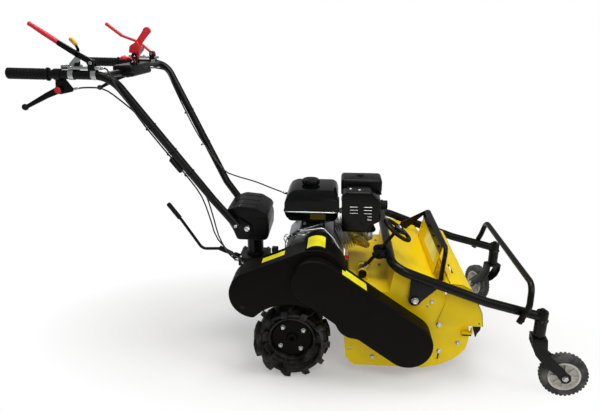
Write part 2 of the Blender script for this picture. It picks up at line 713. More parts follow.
def caster_fork(side, place, body):
    """A caster's fork: crown, two arms, boss, and the axle with its nuts."""
    word = WORD[side]
    top = STEM_BOTTOM - 0.0006
    arm_y = CASTER_WIDTH / 2 + 0.0042
    line = [(-0.024, top - 0.002), (0.024, top - 0.002), (0.029, 0.18), (0.047, 0.151), (0.093, 0.1125)]
    line += arc((CASTER_TRAIL, CASTER_RADIUS), 0.0205, 78, -112, 12)
    line += [(0.07, 0.087), (0.023, 0.123), (-0.008, 0.159), (-0.022, 0.19)]
    parts = [block("fork_crown", (-0.0245, -arm_y - 0.0045, top - 0.008), (0.0245, arm_y + 0.0045, top),
                   0.0022, 2)]
    for row in (-1, 1):
        parts.append(plate("fork_arm", line, row * arm_y, row * (arm_y + 0.0045), 0.0011, 2, 20))
    parts.append(lathe("fork_boss", [(0, -0.004), (0.018, -0.004), (0.018, 0.0), (0, 0.0)], (0, 0, top),
                       (0, 0, 1), 32))
    fork = merge("caster_fork_" + word + "_fine", parts)
    fork.data.transform(place)
    finish(fork, body, TUBE_BLACK, 35, ["caster_fork_" + word])
    bolts = []
    for row in (-1, 1):
        at = (CASTER_TRAIL, row * (arm_y + 0.0045), CASTER_RADIUS)
        bolts += hex_bolt("caster_axle_nut", at, (0, row, 0), 0.0095, 0.006, stud=0.0015 if row > 0 else 0)
    bolts.append(cross_bar("caster_axle", (CASTER_TRAIL, CASTER_RADIUS), -arm_y, arm_y, 0.0058))
    nuts = merge("caster_axle_" + word, bolts)
    nuts.data.transform(place)
    finish(nuts, body, ZINC, 30)


# Frame, bumper and height screw

def front_frame():
    """The bent tube frame with sleeves, ears and weld beads, the bumper hoop and its clamps."""
    line = ((STEM_X, 0.294), (0.66, 0.341), (0.478, 0.406), (0.34, 0.458))
    corners = across_machine(lambda side: [(x, side * SIDE_TUBE_Y, z) for x, z in line])
    parts = [pipe("frame_tube", rounded(corners, 0.06, 10), TUBE_RADIUS, 8)]
    for side in (NEAR, FAR):
        y = side * SIDE_TUBE_Y
        sleeve = [(0.0125, STEM_BOTTOM), (0.0192, STEM_BOTTOM), (0.02, STEM_BOTTOM + 0.001),
                  (0.02, STEM_TOP - 0.004), (0.0185, STEM_TOP - 0.001), (0.012, STEM_TOP + 0.0005),
                  (0, STEM_TOP + 0.0005)]
        parts += [lathe("stem_sleeve", sleeve, (STEM_X, y, 0), (0, 0, 1), 36),
                  lathe("stem_bead", [(0.0198, 0.006), (0.0225, 0.009), (0.0228, 0.014), (0.0198, 0.018)],
                        (STEM_X, y, 0.27), (0, 0, 1), 36, closed=True)]
        ear = arc(FRAME_PIVOT, 0.022, 150, 345, 14) + [(0.5, 0.388), (0.404, 0.42)]
        inner, outer = side * (SIDE_TUBE_Y - 0.012), side * (SIDE_TUBE_Y - 0.005)
        start = side * (DECK_FACE + 0.0008)
        parts += [plate("pivot_ear", ear, inner, outer, 0.001, 2, 20),
                  cross_bar("pivot_boss", FRAME_PIVOT, start, side * PIVOT_FACE, 0.014)]
    for side in (NEAR, FAR):
        y = ANCHOR.y + side * 0.027
        nut = ANCHOR + JACK_AIM * 0.0905
        line = round_hull([((nut.x, nut.z), 0.016), ((0.34, 0.458), 0.014)], 32)
        parts.append(plate("nut_lug", line, y - 0.003, y + 0.003, 0.001, 2, 20))
    frame_piece = merge("bent_frame", parts)
    finish(frame_piece, "front_frame", TUBE_BLACK, 38, ["caster_frame"])
    bolts = []
    for side in (NEAR, FAR):
        bolts += hex_bolt("pivot_bolt", (FRAME_PIVOT[0], side * PIVOT_FACE, FRAME_PIVOT[1]), (0, side, 0),
                          0.0115, 0.007)
    finish(merge("frame_bolts", bolts), "front_frame", ZINC, 30)
    out = SIDE_TUBE_Y + TUBE_RADIUS + BUMPER_RADIUS + 0.0003
    line = ((0.762, out, 0.284), (0.788, out, 0.345), (0.797, SIDE_TUBE_Y, 0.412))
    corners = across_machine(lambda side: [(x, side * y, z) for x, y, z in line])
    hoop = pipe("bumper", rounded(corners, 0.045, 10), BUMPER_RADIUS, 6)
    finish(hoop, "front_frame", TUBE_BLACK, 40, ["bumper_hoop"])
    clamps = []
    for side in (NEAR, FAR):
        clamps += hex_bolt("stem_bolt", (STEM_X, side * SIDE_TUBE_Y, STEM_TOP), (0, 0, 1), 0.0095, 0.006)
        y = side * (SIDE_TUBE_Y + TUBE_RADIUS + 0.0213)
        for z, x in ((0.299, 0.7685), (0.325, 0.7795)):
            clamps += hex_bolt("bumper_bolt", (x, y, z), (0, side, 0), 0.0065, 0.004)
    finish(merge("bumper_bolts", clamps), "front_frame", TUBE_BLACK, 30)


def height_screw():
    """The handwheel with three spokes, the screw with its thread, its nut, and the foot's pin heads."""
    centre = ANCHOR + JACK_AIM * 0.196
    side = JACK_AIM.cross(Vector((0, 1, 0)))
    across = Vector((0, 1, 0))
    ring = []
    for k in range(56):
        turn = math.tau * k / 56
        ring.append(centre + (side * math.cos(turn) + across * math.sin(turn)) * 0.0535)
    parts = [pipe("wheel_rim", ring, 0.007, 6, caps=False, loop=True)]
    for k in range(3):
        turn = math.tau * k / 3 + 0.5
        aim = side * math.cos(turn) + across * math.sin(turn)
        parts.append(pipe("wheel_spoke",
                          [centre + aim * 0.01 - JACK_AIM * 0.004, centre + aim * 0.03 - JACK_AIM * 0.003,
                           centre + aim * 0.053], 0.0045, 4))
    hub = [(0, -0.016), (0.0135, -0.016), (0.015, -0.0145), (0.015, 0.0085), (0.0135, 0.01), (0, 0.01)]
    parts.append(lathe("wheel_hub", hub, centre, JACK_AIM, 36))
    finish(merge("hand_wheel", parts), "wheel_screw", TUBE_BLACK, 40, ["handwheel"])
    thread = [(0.007 if k % 2 else 0.0058, 0.015 + 0.155 * k / 60) for k in range(61)]
    profile = [(0, 0.0146)] + thread + [(0.0062, 0.175), (0.0062, 0.208), (0, 0.209)]
    screw = lathe("height_screw", profile, ANCHOR, JACK_AIM, 24)
    finish(screw, "wheel_screw", OXIDE, 25)
    nut = hex_bolt("wheel_nut", centre + JACK_AIM * 0.01, JACK_AIM, 0.0085, 0.006)
    finish(merge("wheel_nut", nut), "wheel_screw", ZINC, 30)
    head = [(0, 0), (0.0142, 0), (0.015, 0.0008), (0.015, 0.0078), (0.0128, 0.0092), (0, 0.0096)]
    pins = [lathe("foot_pin", head, ANCHOR + Vector((0, row * 0.0305, 0)), (0, row, 0), 36)
            for row in (NEAR, FAR)]
    finish(merge("foot_pins", pins), "chassis", TUBE_BLACK, 30)


# Handlebar and controls

def tube_corners(side):
    """The corners of a handle tube, from its grip to its foot."""
    return [
        (GRIP_END_X + 0.004, side * HANDLE_SPREAD, GRIP_Z),
        (BEND_X, side * HANDLE_SPREAD, BEND_Z),
        (KNEE[0], side * KNEE[1], KNEE[2]),
        (FOOT[0], side * FOOT[1], FOOT[2]),
    ]


def handlebar():
    """The two bent tubes with their shoes, the cross tube, console, rails, perches and lever ears."""
    parts, shoe_face = [], 0.097
    for side in (NEAR, FAR):
        parts.append(pipe("handle_tube", rounded(tube_corners(side), 0.085, 12), HANDLE_TUBE, 8))
        shoe = round_hull([(TILT_PIN, 0.018), ((FOOT[0], FOOT[2] + 0.008), 0.017)], 40)
        parts.append(plate("handle_shoe", shoe, side * 0.0883, side * shoe_face, 0.0012, 2, 20))
        y = side * HANDLE_SPREAD
        arm = round_hull([((-0.72, 1.0655), 0.012), ((-0.722, 1.0255), 0.0145), ((-0.688, 1.0265), 0.0085)],
                         32)
        parts.append(plate("perch_arm", arm, y + 0.0072, y + 0.013, 0.001, 2, 20))
        clamp = [(0.0142, -0.011), (0.0172, -0.011), (0.0178, -0.009), (0.0178, 0.009), (0.0172, 0.011),
                 (0.0142, 0.011)]
        parts.append(lathe("perch_clamp", clamp, (-0.718, y, 1.0731), (1, 0, -0.017), 32, closed=True))
    parts.append(cross_bar("cross_tube", (-0.575, 1.068), -HANDLE_SPREAD, HANDLE_SPREAD, 0.011, 0.001, 28))
    finish(merge("handle_tubes", parts), "handle", TUBE_BLACK, 40, ["handlebar"])
    console = [block("console_box", (-0.602, -0.14, 1.053), (-0.532, 0.046, 1.0915), 0.009, 4),
               block("console_lip", (-0.6025, -0.1405, 1.066), (-0.5315, 0.0465, 1.07), 0.0012, 1)]
    finish(merge("lever_console", console), "handle", ABS)
    bright, dark = [], []
    for side in (NEAR, FAR):
        y = side * HANDLE_SPREAD
        bright.append(block("rail_block", (-0.701, y - 0.0105, GRIP_Z + 0.0125),
                            (-0.676, y + 0.0105, GRIP_Z + 0.0275), 0.003, 2))
        strut = round_hull([((-0.6745, GRIP_Z + 0.022), 0.01), ((-0.6485, 1.125), 0.0088)], 28)
        bright += [plate("lever_strut", strut, y + 0.0072, y + 0.0108, 0.0008, 2, 20),
                   block("lever_rail", (-0.702, y - 0.0105, GRIP_Z + 0.0125),
                         (-0.582, y + 0.0105, GRIP_Z + 0.0225), 0.003, 2)]
        for row in (-1, 1):
            line = round_hull([(BAR_PIVOT, 0.01), ((-0.605, GRIP_Z + 0.012), 0.0112)], 28)
            dark.append(plate("lever_cheek", line, y + row * 0.0072, y + row * 0.011, 0.0006, 1, 20))
            bright += hex_bolt("lever_bolt", (BAR_PIVOT[0], y + row * 0.0112, BAR_PIVOT[1]), (0, row, 0),
                               0.0062, 0.0038, washer=False)
        for x in (-0.69, -0.64):
            bright += hex_bolt("rail_bolt", (x, y, GRIP_Z + 0.0222), (0, 0, 1), 0.0048, 0.003)
        saddle = [(0.0143, -0.008), (0.0166, -0.008), (0.0166, 0.008), (0.0143, 0.008)]
        for x in (-0.672, -0.6):
            bright.append(lathe("rail_saddle", saddle, (x, y, 1.0727), (1, 0, -0.017), 32, closed=True))
    finish(merge("lever_rails", bright), "handle", ZINC, 35)
    for y, (x, z), radius in ((0.0, FLAT_PIVOT, 0.01), (-0.1, THROTTLE_PIVOT, 0.009)):
        for row in (-1, 1):
            line = round_hull([((x, z), radius), ((x, 1.082), radius * 1.1)], 24)
            dark.append(plate("console_ear", line, y + row * 0.0072, y + row * 0.011, 0.0006, 1, 20))
    line = round_hull([(LOCK_PIVOT, 0.008), ((-0.657, 1.0895), 0.008)], 24)
    dark.append(plate("lock_ear", line, -0.272, -0.266, 0.0006, 1, 20))
    finish(merge("console_ears", dark), "handle", TUBE_BLACK, 35)
    tilt = []
    for side in (NEAR, FAR):
        at = (TILT_PIN[0], side * shoe_face, TILT_PIN[1])
        tilt += hex_bolt("tilt_bolt", at, (0, side, 0), 0.0105, 0.0065)
        tilt += hex_bolt("shoe_bolt", (-0.214, side * 0.1195, 0.524), (0, side, 0), 0.0062, 0.004)
        y = side * HANDLE_SPREAD
        tilt += hex_bolt("perch_bolt", (PERCH[0], y + 0.0132, PERCH[1]), (0, 1, 0), 0.0065, 0.004,
                         washer=False)
    finish(merge("tilt_bolts", tilt), "handle", ZINC, 30)


def grips():
    """Moulded grips: finger rings, a flared flange and a closed end."""
    length = 0.133
    profile = [(0.0146, 0.004), (0.006, 0.0036), (0.006, 0.0), (0.015, 0.0), (0.0172, 0.0018)]
    for k in range(11):
        at = 0.008 + k * 0.0104
        profile += [(0.0175, at), (0.0175, at + 0.0052), (0.0168, at + 0.0066), (0.0168, at + 0.0088)]
    profile += [(0.0175, length - 0.0085), (0.0182, length - 0.0065), (0.0204, length - 0.0045),
                (0.0206, length - 0.001), (0.0198, length), (0.0146, length)]
    slope = (BEND_Z - GRIP_Z) / (BEND_X - GRIP_END_X)
    for side in (NEAR, FAR):
        word = WORD[side]
        at = (GRIP_END_X - 0.0006, side * HANDLE_SPREAD, GRIP_Z)
        made = lathe("ringed_grip_" + word, profile, at, Vector((1, 0, slope)).normalized(), 40, closed=True)
        finish(made, "handle", GRIP, 40, ["grip_" + word])


def base_cover():
    """The moulded cover on the column's head: a rounded cap over a lower body, with a parting groove."""
    line = [(-0.262, 0.548), (-0.25, 0.573), (-0.205, 0.589), (-0.142, 0.583), (-0.106, 0.56),
            (-0.096, 0.52), (-0.098, 0.472), (-0.108, 0.4545), (-0.218, 0.4545), (-0.231, 0.49),
            (-0.25, 0.525)]
    parts = [plate("cover_body", eased(line, 0.006, 2), -0.0866, 0.0866, 0.017, 5, 40)]
    cap = [(-0.2632, 0.546), (-0.2512, 0.5742), (-0.205, 0.5905), (-0.1415, 0.5845), (-0.1045, 0.5612),
           (-0.0962, 0.542), (-0.17, 0.544), (-0.256, 0.535)]
    parts.append(plate("cover_cap", eased(cap, 0.005, 2), -0.0884, 0.0884, 0.011, 4, 40))
    rib = [(-0.235, 0.579), (-0.205, 0.5898), (-0.142, 0.584)]
    for y in (-0.052, 0.0, 0.052):
        parts.append(pipe("cap_rib", [(x, y, z + 0.0004) for x, z in rib], 0.0016, 3))
    finish(merge("column_cover", parts), "handle", ABS, 40, ["handle_base_cover"])


def red_levers():
    """The two squeeze bars with their sleeves, the flat throw lever, the throttle and the lock lever."""
    for side, name in ((NEAR, "drive_clutch_lever"), (FAR, "brake_lever")):
        body = "drive_clutch" if side == NEAR else "brake"
        y = side * HANDLE_SPREAD
        if side == NEAR:
            bends = [(-0.64, y, 1.127), (-0.7, y, 1.166), (-0.787, y, 1.223)]
        else:
            bends = [(-0.654, y, 1.151), (-0.722, y, 1.175), (-0.784, y, 1.222)]
        path = [Vector(p) for p in rounded([(BAR_PIVOT[0], y, BAR_PIVOT[1])] + bends, 0.026, 6)]
        joint = Vector((-0.7044, y, 1.1689)) if side == NEAR else Vector((-0.724, y, 1.1766))
        lower = [p for p in path if p.x > joint.x + 0.002] + [joint]
        core = [pipe("lever_core", lower, 0.0064 if side == NEAR else 0.0052, 5),
                cross_bar("lever_eye", BAR_PIVOT, y - 0.004, y + 0.004, 0.009)]
        if side == NEAR:
            channel = (((-0.7, 1.1658), 0.008), ((-0.646, 1.1325), 0.0088), ((-0.606, 1.1105), 0.009))
            core += bar_chain("lever_channel", channel, y - 0.0062, y + 0.003, 0.0018, 3, 30)
        finish(merge(body + "_core", core), body, TUBE_BLACK if side == NEAR else RED, 40, [name],
               slot="red_plastic")
        upper = [joint] + [p for p in path if p.x < joint.x - 0.002]
        tip = Vector(bends[-1])
        sleeve = [pipe("lever_sleeve", upper, 0.0064, 6)]
        if side == NEAR:
            swell = [(0, -0.001), (0.007, -0.001), (0.0079, 0.002), (0.0081, 0.024), (0.0077, 0.056),
                     (0.0069, 0.08), (0.0062, 0.092)]
            sleeve.append(lathe_towards("sleeve_swell", swell, joint, tip))
        aim = (tip - Vector(bends[-2])).normalized()
        cap = [(0, 0), (0.0064, 0), (0.007, 0.001), (0.007, 0.006), (0.006, 0.0078), (0.0035, 0.0088),
               (0, 0.009)]
        sleeve.append(lathe("lever_tip", cap, tip - aim * 0.0079, aim, 24))
        finish(merge(body + "_sleeve", sleeve), body, RED)
    blade = [(-0.586, 1.1), (-0.56, 1.101), (-0.552, 1.142), (-0.539, 1.16), (-0.516, 1.186)]
    blade += arc((-0.522, 1.196), 0.0145, -10, 170, 16) + [(-0.562, 1.166), (-0.58, 1.146)]
    parts = [plate("throw_blade", blade, -0.0035, 0.0035, 0.0018, 3, 20)]
    shield = [(-0.59, 1.124), (-0.554, 1.124), (-0.548, 1.146), (-0.556, 1.164), (-0.585, 1.148)]
    parts.append(plate("throw_body", eased(shield, 0.004, 2), -0.0125, 0.0125, 0.004, 4, 30))
    finish(merge("throw_lever", parts), "drum_clutch", RED, 40, ["drum_clutch_lever"])
    y = -0.1
    arm = [(THROTTLE_PIVOT[0], y, THROTTLE_PIVOT[1]), (-0.552, y, 1.113), (-0.566, y - 0.01, 1.113)]
    parts = [cross_bar("throttle_eye", THROTTLE_PIVOT, y - 0.004, y + 0.004, 0.007),
             pipe("throttle_arm", rounded(arm, 0.01, 4), 0.004, 4)]
    knob = [(0, 0), (0.0062, 0), (0.0078, 0.0014), (0.008, 0.01), (0.0066, 0.0165), (0.004, 0.0192),
            (0, 0.0195)]
    parts.append(lathe_towards("throttle_knob", knob, (-0.563, y - 0.007, 1.114), (-0.578, y - 0.019, 1.111)))
    finish(merge("throttle_handle", parts), "throttle", RED, 40, ["throttle_lever"])
    pins = (("drum_clutch", FLAT_PIVOT, 0.0, 0.012), ("throttle", THROTTLE_PIVOT, y, 0.012),
            ("drive_clutch", BAR_PIVOT, NEAR * HANDLE_SPREAD, 0.0118),
            ("brake", BAR_PIVOT, FAR * HANDLE_SPREAD, 0.0118))
    for body, at, middle, half in pins:
        finish(cross_bar(body + "_pin", at, middle - half, middle + half, 0.0034), body, ZINC, 35)
    y = -HANDLE_SPREAD + 0.0155
    stem = ((LOCK_PIVOT, 0.008), ((-0.65, 1.148), 0.0042), ((-0.657, 1.163), 0.0036))
    parts = bar_chain("lock_stem", stem, y - 0.004, y, 0.0007, 2, 20)
    parts.append(cross_bar("lock_pin", LOCK_PIVOT, y - 0.01, y - 0.002, 0.0034))
    finish(merge("lock_lever", parts), "lock", ABS, 40, ["lever_lock"])
    line = round_hull([((-0.668, 1.176), 0.0056), ((-0.656, 1.163), 0.0056)], 28)
    tab = plate("lock_tab", line, y - 0.0075, y + 0.0035, 0.0026, 3, 30)
    finish(tab, "lock", ACETAL)


def side_levers():
    """The steering levers under the grips, with ball ends; their pivots carry red caps."""
    for side in (NEAR, FAR):
        word = WORD[side]
        y = side * HANDLE_SPREAD
        root = round_hull([((-0.722, 1.0255), 0.0108), ((-0.762, 1.0085), 0.0086)], 24)
        blade = round_hull([((-0.762, 1.0085), 0.0086), ((-0.836, 0.9715), 0.0058)], 24)
        parts = [plate("steer_root", root, y - 0.005, y + 0.005, 0.0022, 3, 30),
                 plate("steer_blade", blade, y - 0.0048, y + 0.0048, 0.0022, 3, 30),
                 cross_bar("steer_eye", PERCH, y - 0.008, y + 0.0045, 0.0105, 0.001, 28)]
        ball = [(0, -0.0105)] + arc((0, 0), 0.0105, -75, 75, 10) + [(0, 0.0105)]
        parts.append(lathe("steer_ball", ball, (-0.84, y, 0.971), (0, 0, 1), 24))
        finish(merge("steer_handle_" + word, parts), "steer_" + word, TUBE_BLACK, 40,
               ["steering_lever_" + word])
        cap = [(0, -0.0002), (0.01, -0.0002), (0.0102, 0.0022), (0.0084, 0.0034), (0, 0.0036)]
        made = lathe("steer_cap_" + word, cap, (PERCH[0], y - 0.008, PERCH[1]), (0, -1, 0), 28)
        finish(made, "steer_" + word, RED)


def gear_handle():
    """The long bent gear rod with its sleeve and boot."""
    y = -0.03
    route = [(-0.238, y, 0.366), (-0.262, y, 0.384), (-0.29, y, 0.395), (-0.366, y, 0.392),
             (-0.438, y, 0.505), (-0.488, y, 0.574)]
    parts = [pipe("gear_rod", rounded(route, 0.03, 8), 0.0058, 5),
             cross_bar("gear_eye", (-0.238, 0.366), y - 0.006, y + 0.004, 0.011, 0.001, 28)]
    sleeve = [(0, 0), (0.006, 0), (0.0086, 0.001), (0.0088, 0.006), (0.0088, 0.066), (0.008, 0.0715),
              (0.0045, 0.0738), (0, 0.074)]
    parts.append(lathe_towards("gear_sleeve", sleeve, (-0.4458, y, 0.5157), (-0.49, y, 0.5768)))
    boot = [(0.006, 0), (0.0074, 0.0006), (0.008, 0.004), (0.0086, 0.02), (0.0083, 0.0225), (0.0092, 0.026),
            (0.0096, 0.044), (0.0092, 0.0465), (0.0099, 0.05), (0.0096, 0.056), (0.0084, 0.058),
            (0.006, 0.058)]
    made = lathe("gear_boot", boot, (-0.247, y, 0.3735), (-0.044, 0, 0.0205), 32, closed=True)
    finish(made, "gear", GRIP)
    finish(merge("gear_handle", parts), "gear", TUBE_BLACK, 40, ["gear_lever"])


# Pressed shells, cut-outs and foils

def pick_faces(made, test):
    """Selects, in edit mode, the faces whose centre and normal pass a test."""
    bpy.ops.mesh.select_mode(type="FACE")
    bpy.ops.mesh.select_all(action="DESELECT")
    bpy.ops.object.mode_set(mode="OBJECT")
    for face in made.data.polygons:
        face.select = test(face.center, face.normal)
    bpy.ops.object.mode_set(mode="EDIT")


def pick_edges(made, test):
    """Selects, in edit mode, the edges whose two ends pass a test."""
    bpy.ops.mesh.select_mode(type="EDGE")
    bpy.ops.mesh.select_all(action="DESELECT")
    bpy.ops.object.mode_set(mode="OBJECT")
    spots = made.data.vertices
    for edge in made.data.edges:
        edge.select = test(spots[edge.vertices[0]].co, spots[edge.vertices[1]].co)
    bpy.ops.object.mode_set(mode="EDIT")


def eased(outline, step, passes):
    """A closed outline at even steps, its corners eased by averaging neighbours."""
    ring = [Vector(p) for p in outline]
    spans = [(b - a).length for a, b in zip(ring, ring[1:] + ring[:1])]
    count = max(12, round(sum(spans) / step))
    made, k, passed = [], 0, 0.0
    for n in range(count):
        want = sum(spans) * n / count
        while passed + spans[k] < want:
            passed += spans[k]
            k += 1
        made.append(ring[k].lerp(ring[(k + 1) % len(ring)], (want - passed) / spans[k]))
    for _ in range(passes):
        made = [(made[n - 1] + made[n] * 2 + made[(n + 1) % count]) / 4 for n in range(count)]
    return [tuple(p) for p in made]


def inside(point, outline):
    """Whether a point lies inside a closed outline."""
    crossings = 0
    for (ax, az), (bx, bz) in zip(outline, outline[1:] + outline[:1]):
        if (az > point[1]) != (bz > point[1]) and point[0] < ax + (point[1] - az) / (bz - az) * (bx - ax):
            crossings += 1
    return crossings % 2 == 1


def with_circle(outline, centre, radius, bulge, steps=40):
    """The outline with a circle's bite taken out of it, or its bulge added to it."""
    outline = eased(outline, 0.002, 0)
    near = [math.dist(p, centre) < radius for p in outline]
    first = next(k for k in range(len(outline)) if near[k - 1] and not near[k])
    turned = outline[first:] + outline[:first]
    kept = [p for p in turned if math.dist(p, centre) >= radius]
    start = math.atan2(kept[-1][1] - centre[1], kept[-1][0] - centre[0])
    end = math.atan2(kept[0][1] - centre[1], kept[0][0] - centre[0])
    for turn in ((end - start) % math.tau, (end - start) % math.tau - math.tau):
        spots = []
        for k in range(1, steps):
            angle = start + turn * k / steps
            spots.append((centre[0] + radius * math.cos(angle), centre[1] + radius * math.sin(angle)))
        if inside(spots[steps // 2], outline) != bulge:
            return kept + spots
    return kept


def pressed(name, outline, low, high, radius, wall, segments=4, open_below=False):
    """A pressed cover with a wall's thickness: a face with a rolled rim at one Y, open at the other."""
    made = prism(name, [(x, low, z) for x, z in outline], (0, high - low, 0))
    bpy.ops.object.mode_set(mode="EDIT")
    pick_faces(made, lambda centre, normal: abs(centre.y - high) < 1e-5 or (open_below and normal.z < -0.95))
    bpy.ops.mesh.delete(type="FACE")
    pick_edges(made, lambda a, b: abs(a.y - low) < 1e-5 and abs(b.y - low) < 1e-5)
    bpy.ops.mesh.bevel(offset=radius, segments=segments, affect="EDGES", clamp_overlap=True)
    bpy.ops.object.mode_set(mode="OBJECT")
    thick = made.modifiers.new("wall", "SOLIDIFY")
    thick.thickness = wall
    thick.offset = -1
    bpy.ops.object.modifier_apply(modifier=thick.name)
    return made


def cut(made, cutter):
    """Takes a cutter's shape out of a piece."""
    only(made)
    step = made.modifiers.new("cut", "BOOLEAN")
    step.operation = "DIFFERENCE"
    step.solver = "EXACT"
    step.object = cutter
    bpy.ops.object.modifier_apply(modifier=step.name)
    bpy.data.objects.remove(cutter)
    return made


def slab(name, outline, low, high, width=0.0008, segments=1, sharper=30):
    """A flat piece from an outline of (x, y) points, between two heights."""
    made = plate(name, outline, low, high, width, segments, sharper)
    made.data.transform(Matrix(((1, 0, 0, 0), (0, 0, 1, 0), (0, 1, 0, 0), (0, 0, 0, 1))))
    made.data.flip_normals()
    return made


def rounded_frame(x_low, x_high, y_low, y_high, radius, steps=8):
    """A rectangle's outline with round corners."""
    made = []
    for x, y, turn in ((x_high, y_high, 0), (x_low, y_high, 90), (x_low, y_low, 180), (x_high, y_low, 270)):
        middle = (x - radius if x == x_high else x + radius, y - radius if y == y_high else y + radius)
        made += arc(middle, radius, turn, turn + 90, steps)
    return made


def band(points, width):
    """The outline of a strip of a width along a line of (x, z) points."""
    line = [Vector(p) for p in points]
    sides = [[], []]
    for k, here in enumerate(line):
        along = (line[min(k + 1, len(line) - 1)] - line[max(k - 1, 0)]).normalized()
        across = Vector((-along.y, along.x)) * width / 2
        sides[0].append(tuple(here + across))
        sides[1].append(tuple(here - across))
    return sides[0] + sides[1][::-1]


def foil(name, line, low, high, material):
    """A thin blank sticker laid along a line of (x, z) points, between two values of Y."""
    made = seed(name, (line[0][0], low, line[0][1]))
    draw([(x, low, z) for x, z in line])
    bpy.ops.mesh.select_all(action="SELECT")
    bpy.ops.mesh.extrude_region_move(TRANSFORM_OT_translate={"value": (0, high - low, 0)})
    outward()
    bpy.ops.object.mode_set(mode="OBJECT")
    thick = made.modifiers.new("wall", "SOLIDIFY")
    thick.thickness = 0.0005
    thick.offset = 0
    return finish(made, "chassis", material, 30)


# Belt covers and crank guard

CRANK, INPUT, ROTOR = (0.086, 0.412), (-0.125, 0.341), (0.405, 0.186)


def drive_line(grow=0.0):
    """The outline of the drive belt's cover, grown by a distance."""
    return round_hull([(INPUT, 0.088 + grow), (CRANK, 0.105 + grow)], 96)


def belt_covers():
    """The two pressed covers, the arched guard over the crank, and plain foil at the stickers' places."""
    line = with_circle(drive_line(), (0, WHEEL_RADIUS), 0.17, False)
    rear = pressed("rear_belt_cover", eased(line, 0.005, 2), *DRIVE_COVER_Y, 0.005, 0.0028)
    cut(rear, cross_bar("shaft_hole", CRANK, -0.31, -0.29, 0.022, 0.0006, 32))
    finish(rear, "chassis", BLACK, 35, ["drive_cover"])
    line = with_circle(round_hull([(CRANK, 0.081), (ROTOR, 0.083)], 96), (0.224, 0.278), 0.069, True)
    front = pressed("front_belt_cover", eased(line, 0.005, 3), *DRUM_COVER_Y, 0.006, 0.0028)
    cut(front, plate("cover_step", drive_line(0.0004), -0.3004, -0.255, 0))
    finish(front, "chassis", BLACK, 35, ["drum_cover"])
    line = arc((0.089, 0.474), 0.054, 0, 180, 32) + [(0.035, 0.44), (0.143, 0.44)]
    crest = pressed("crank_arch_guard", line, DRIVE_COVER_Y[0] + 0.006, -0.15, 0.0035, 0.002, 3,
                    open_below=True)
    cut(crest, plate("guard_seat", drive_line(0.0004), -0.32, -0.1962, 0))
    finish(crest, "chassis", BLACK, 35, ["crank_guard"])
    foil("arch_label", arc((0.089, 0.474), 0.0543, 127, 60, 16), -0.2885, -0.198, FOIL)
    normal = Vector((math.cos(math.radians(113.0)), math.sin(math.radians(113.0))))
    first, last = Vector(INPUT) + normal * 0.0883, Vector(CRANK) + normal * 0.1053
    strip = [tuple(first.lerp(last, k)) for k in (0.29, 0.48, 0.67)]
    foil("rear_cover_label", strip, -0.262, -0.226, FOIL)
    normal = Vector((math.cos(math.radians(54.98)), math.sin(math.radians(54.98))))
    first, last = Vector(CRANK) + normal * 0.0813, Vector(ROTOR) + normal * 0.0833
    strip = [tuple(first.lerp(last, k)) for k in (0.13, 0.25, 0.385)]
    foil("front_cover_label", strip, -0.333, -0.285, FOIL)
    plug = [(0, -0.001), (0.0075, -0.001), (0.0085, 0.0), (0.0085, 0.0006), (0.0072, 0.0014), (0, 0.0012)]
    made = lathe("cover_plug", plug, (-0.1667, DRIVE_COVER_Y[0], 0.2972), (0, -1, 0), 28)
    finish(made, "chassis", ABS, 35)
    bolts = []
    for x, z in ((-0.19, 0.372), (-0.06, 0.452), (0.148, 0.485)):
        bolts += hex_bolt("cover_bolt", (x, -0.2005, z), (0, 1, 0), 0.0065, 0.004)
    finish(merge("cover_bolts", bolts), "chassis", ZINC, 30)


# Engine

TANK_SEAM, TANK_CREASE = 0.575, 0.62


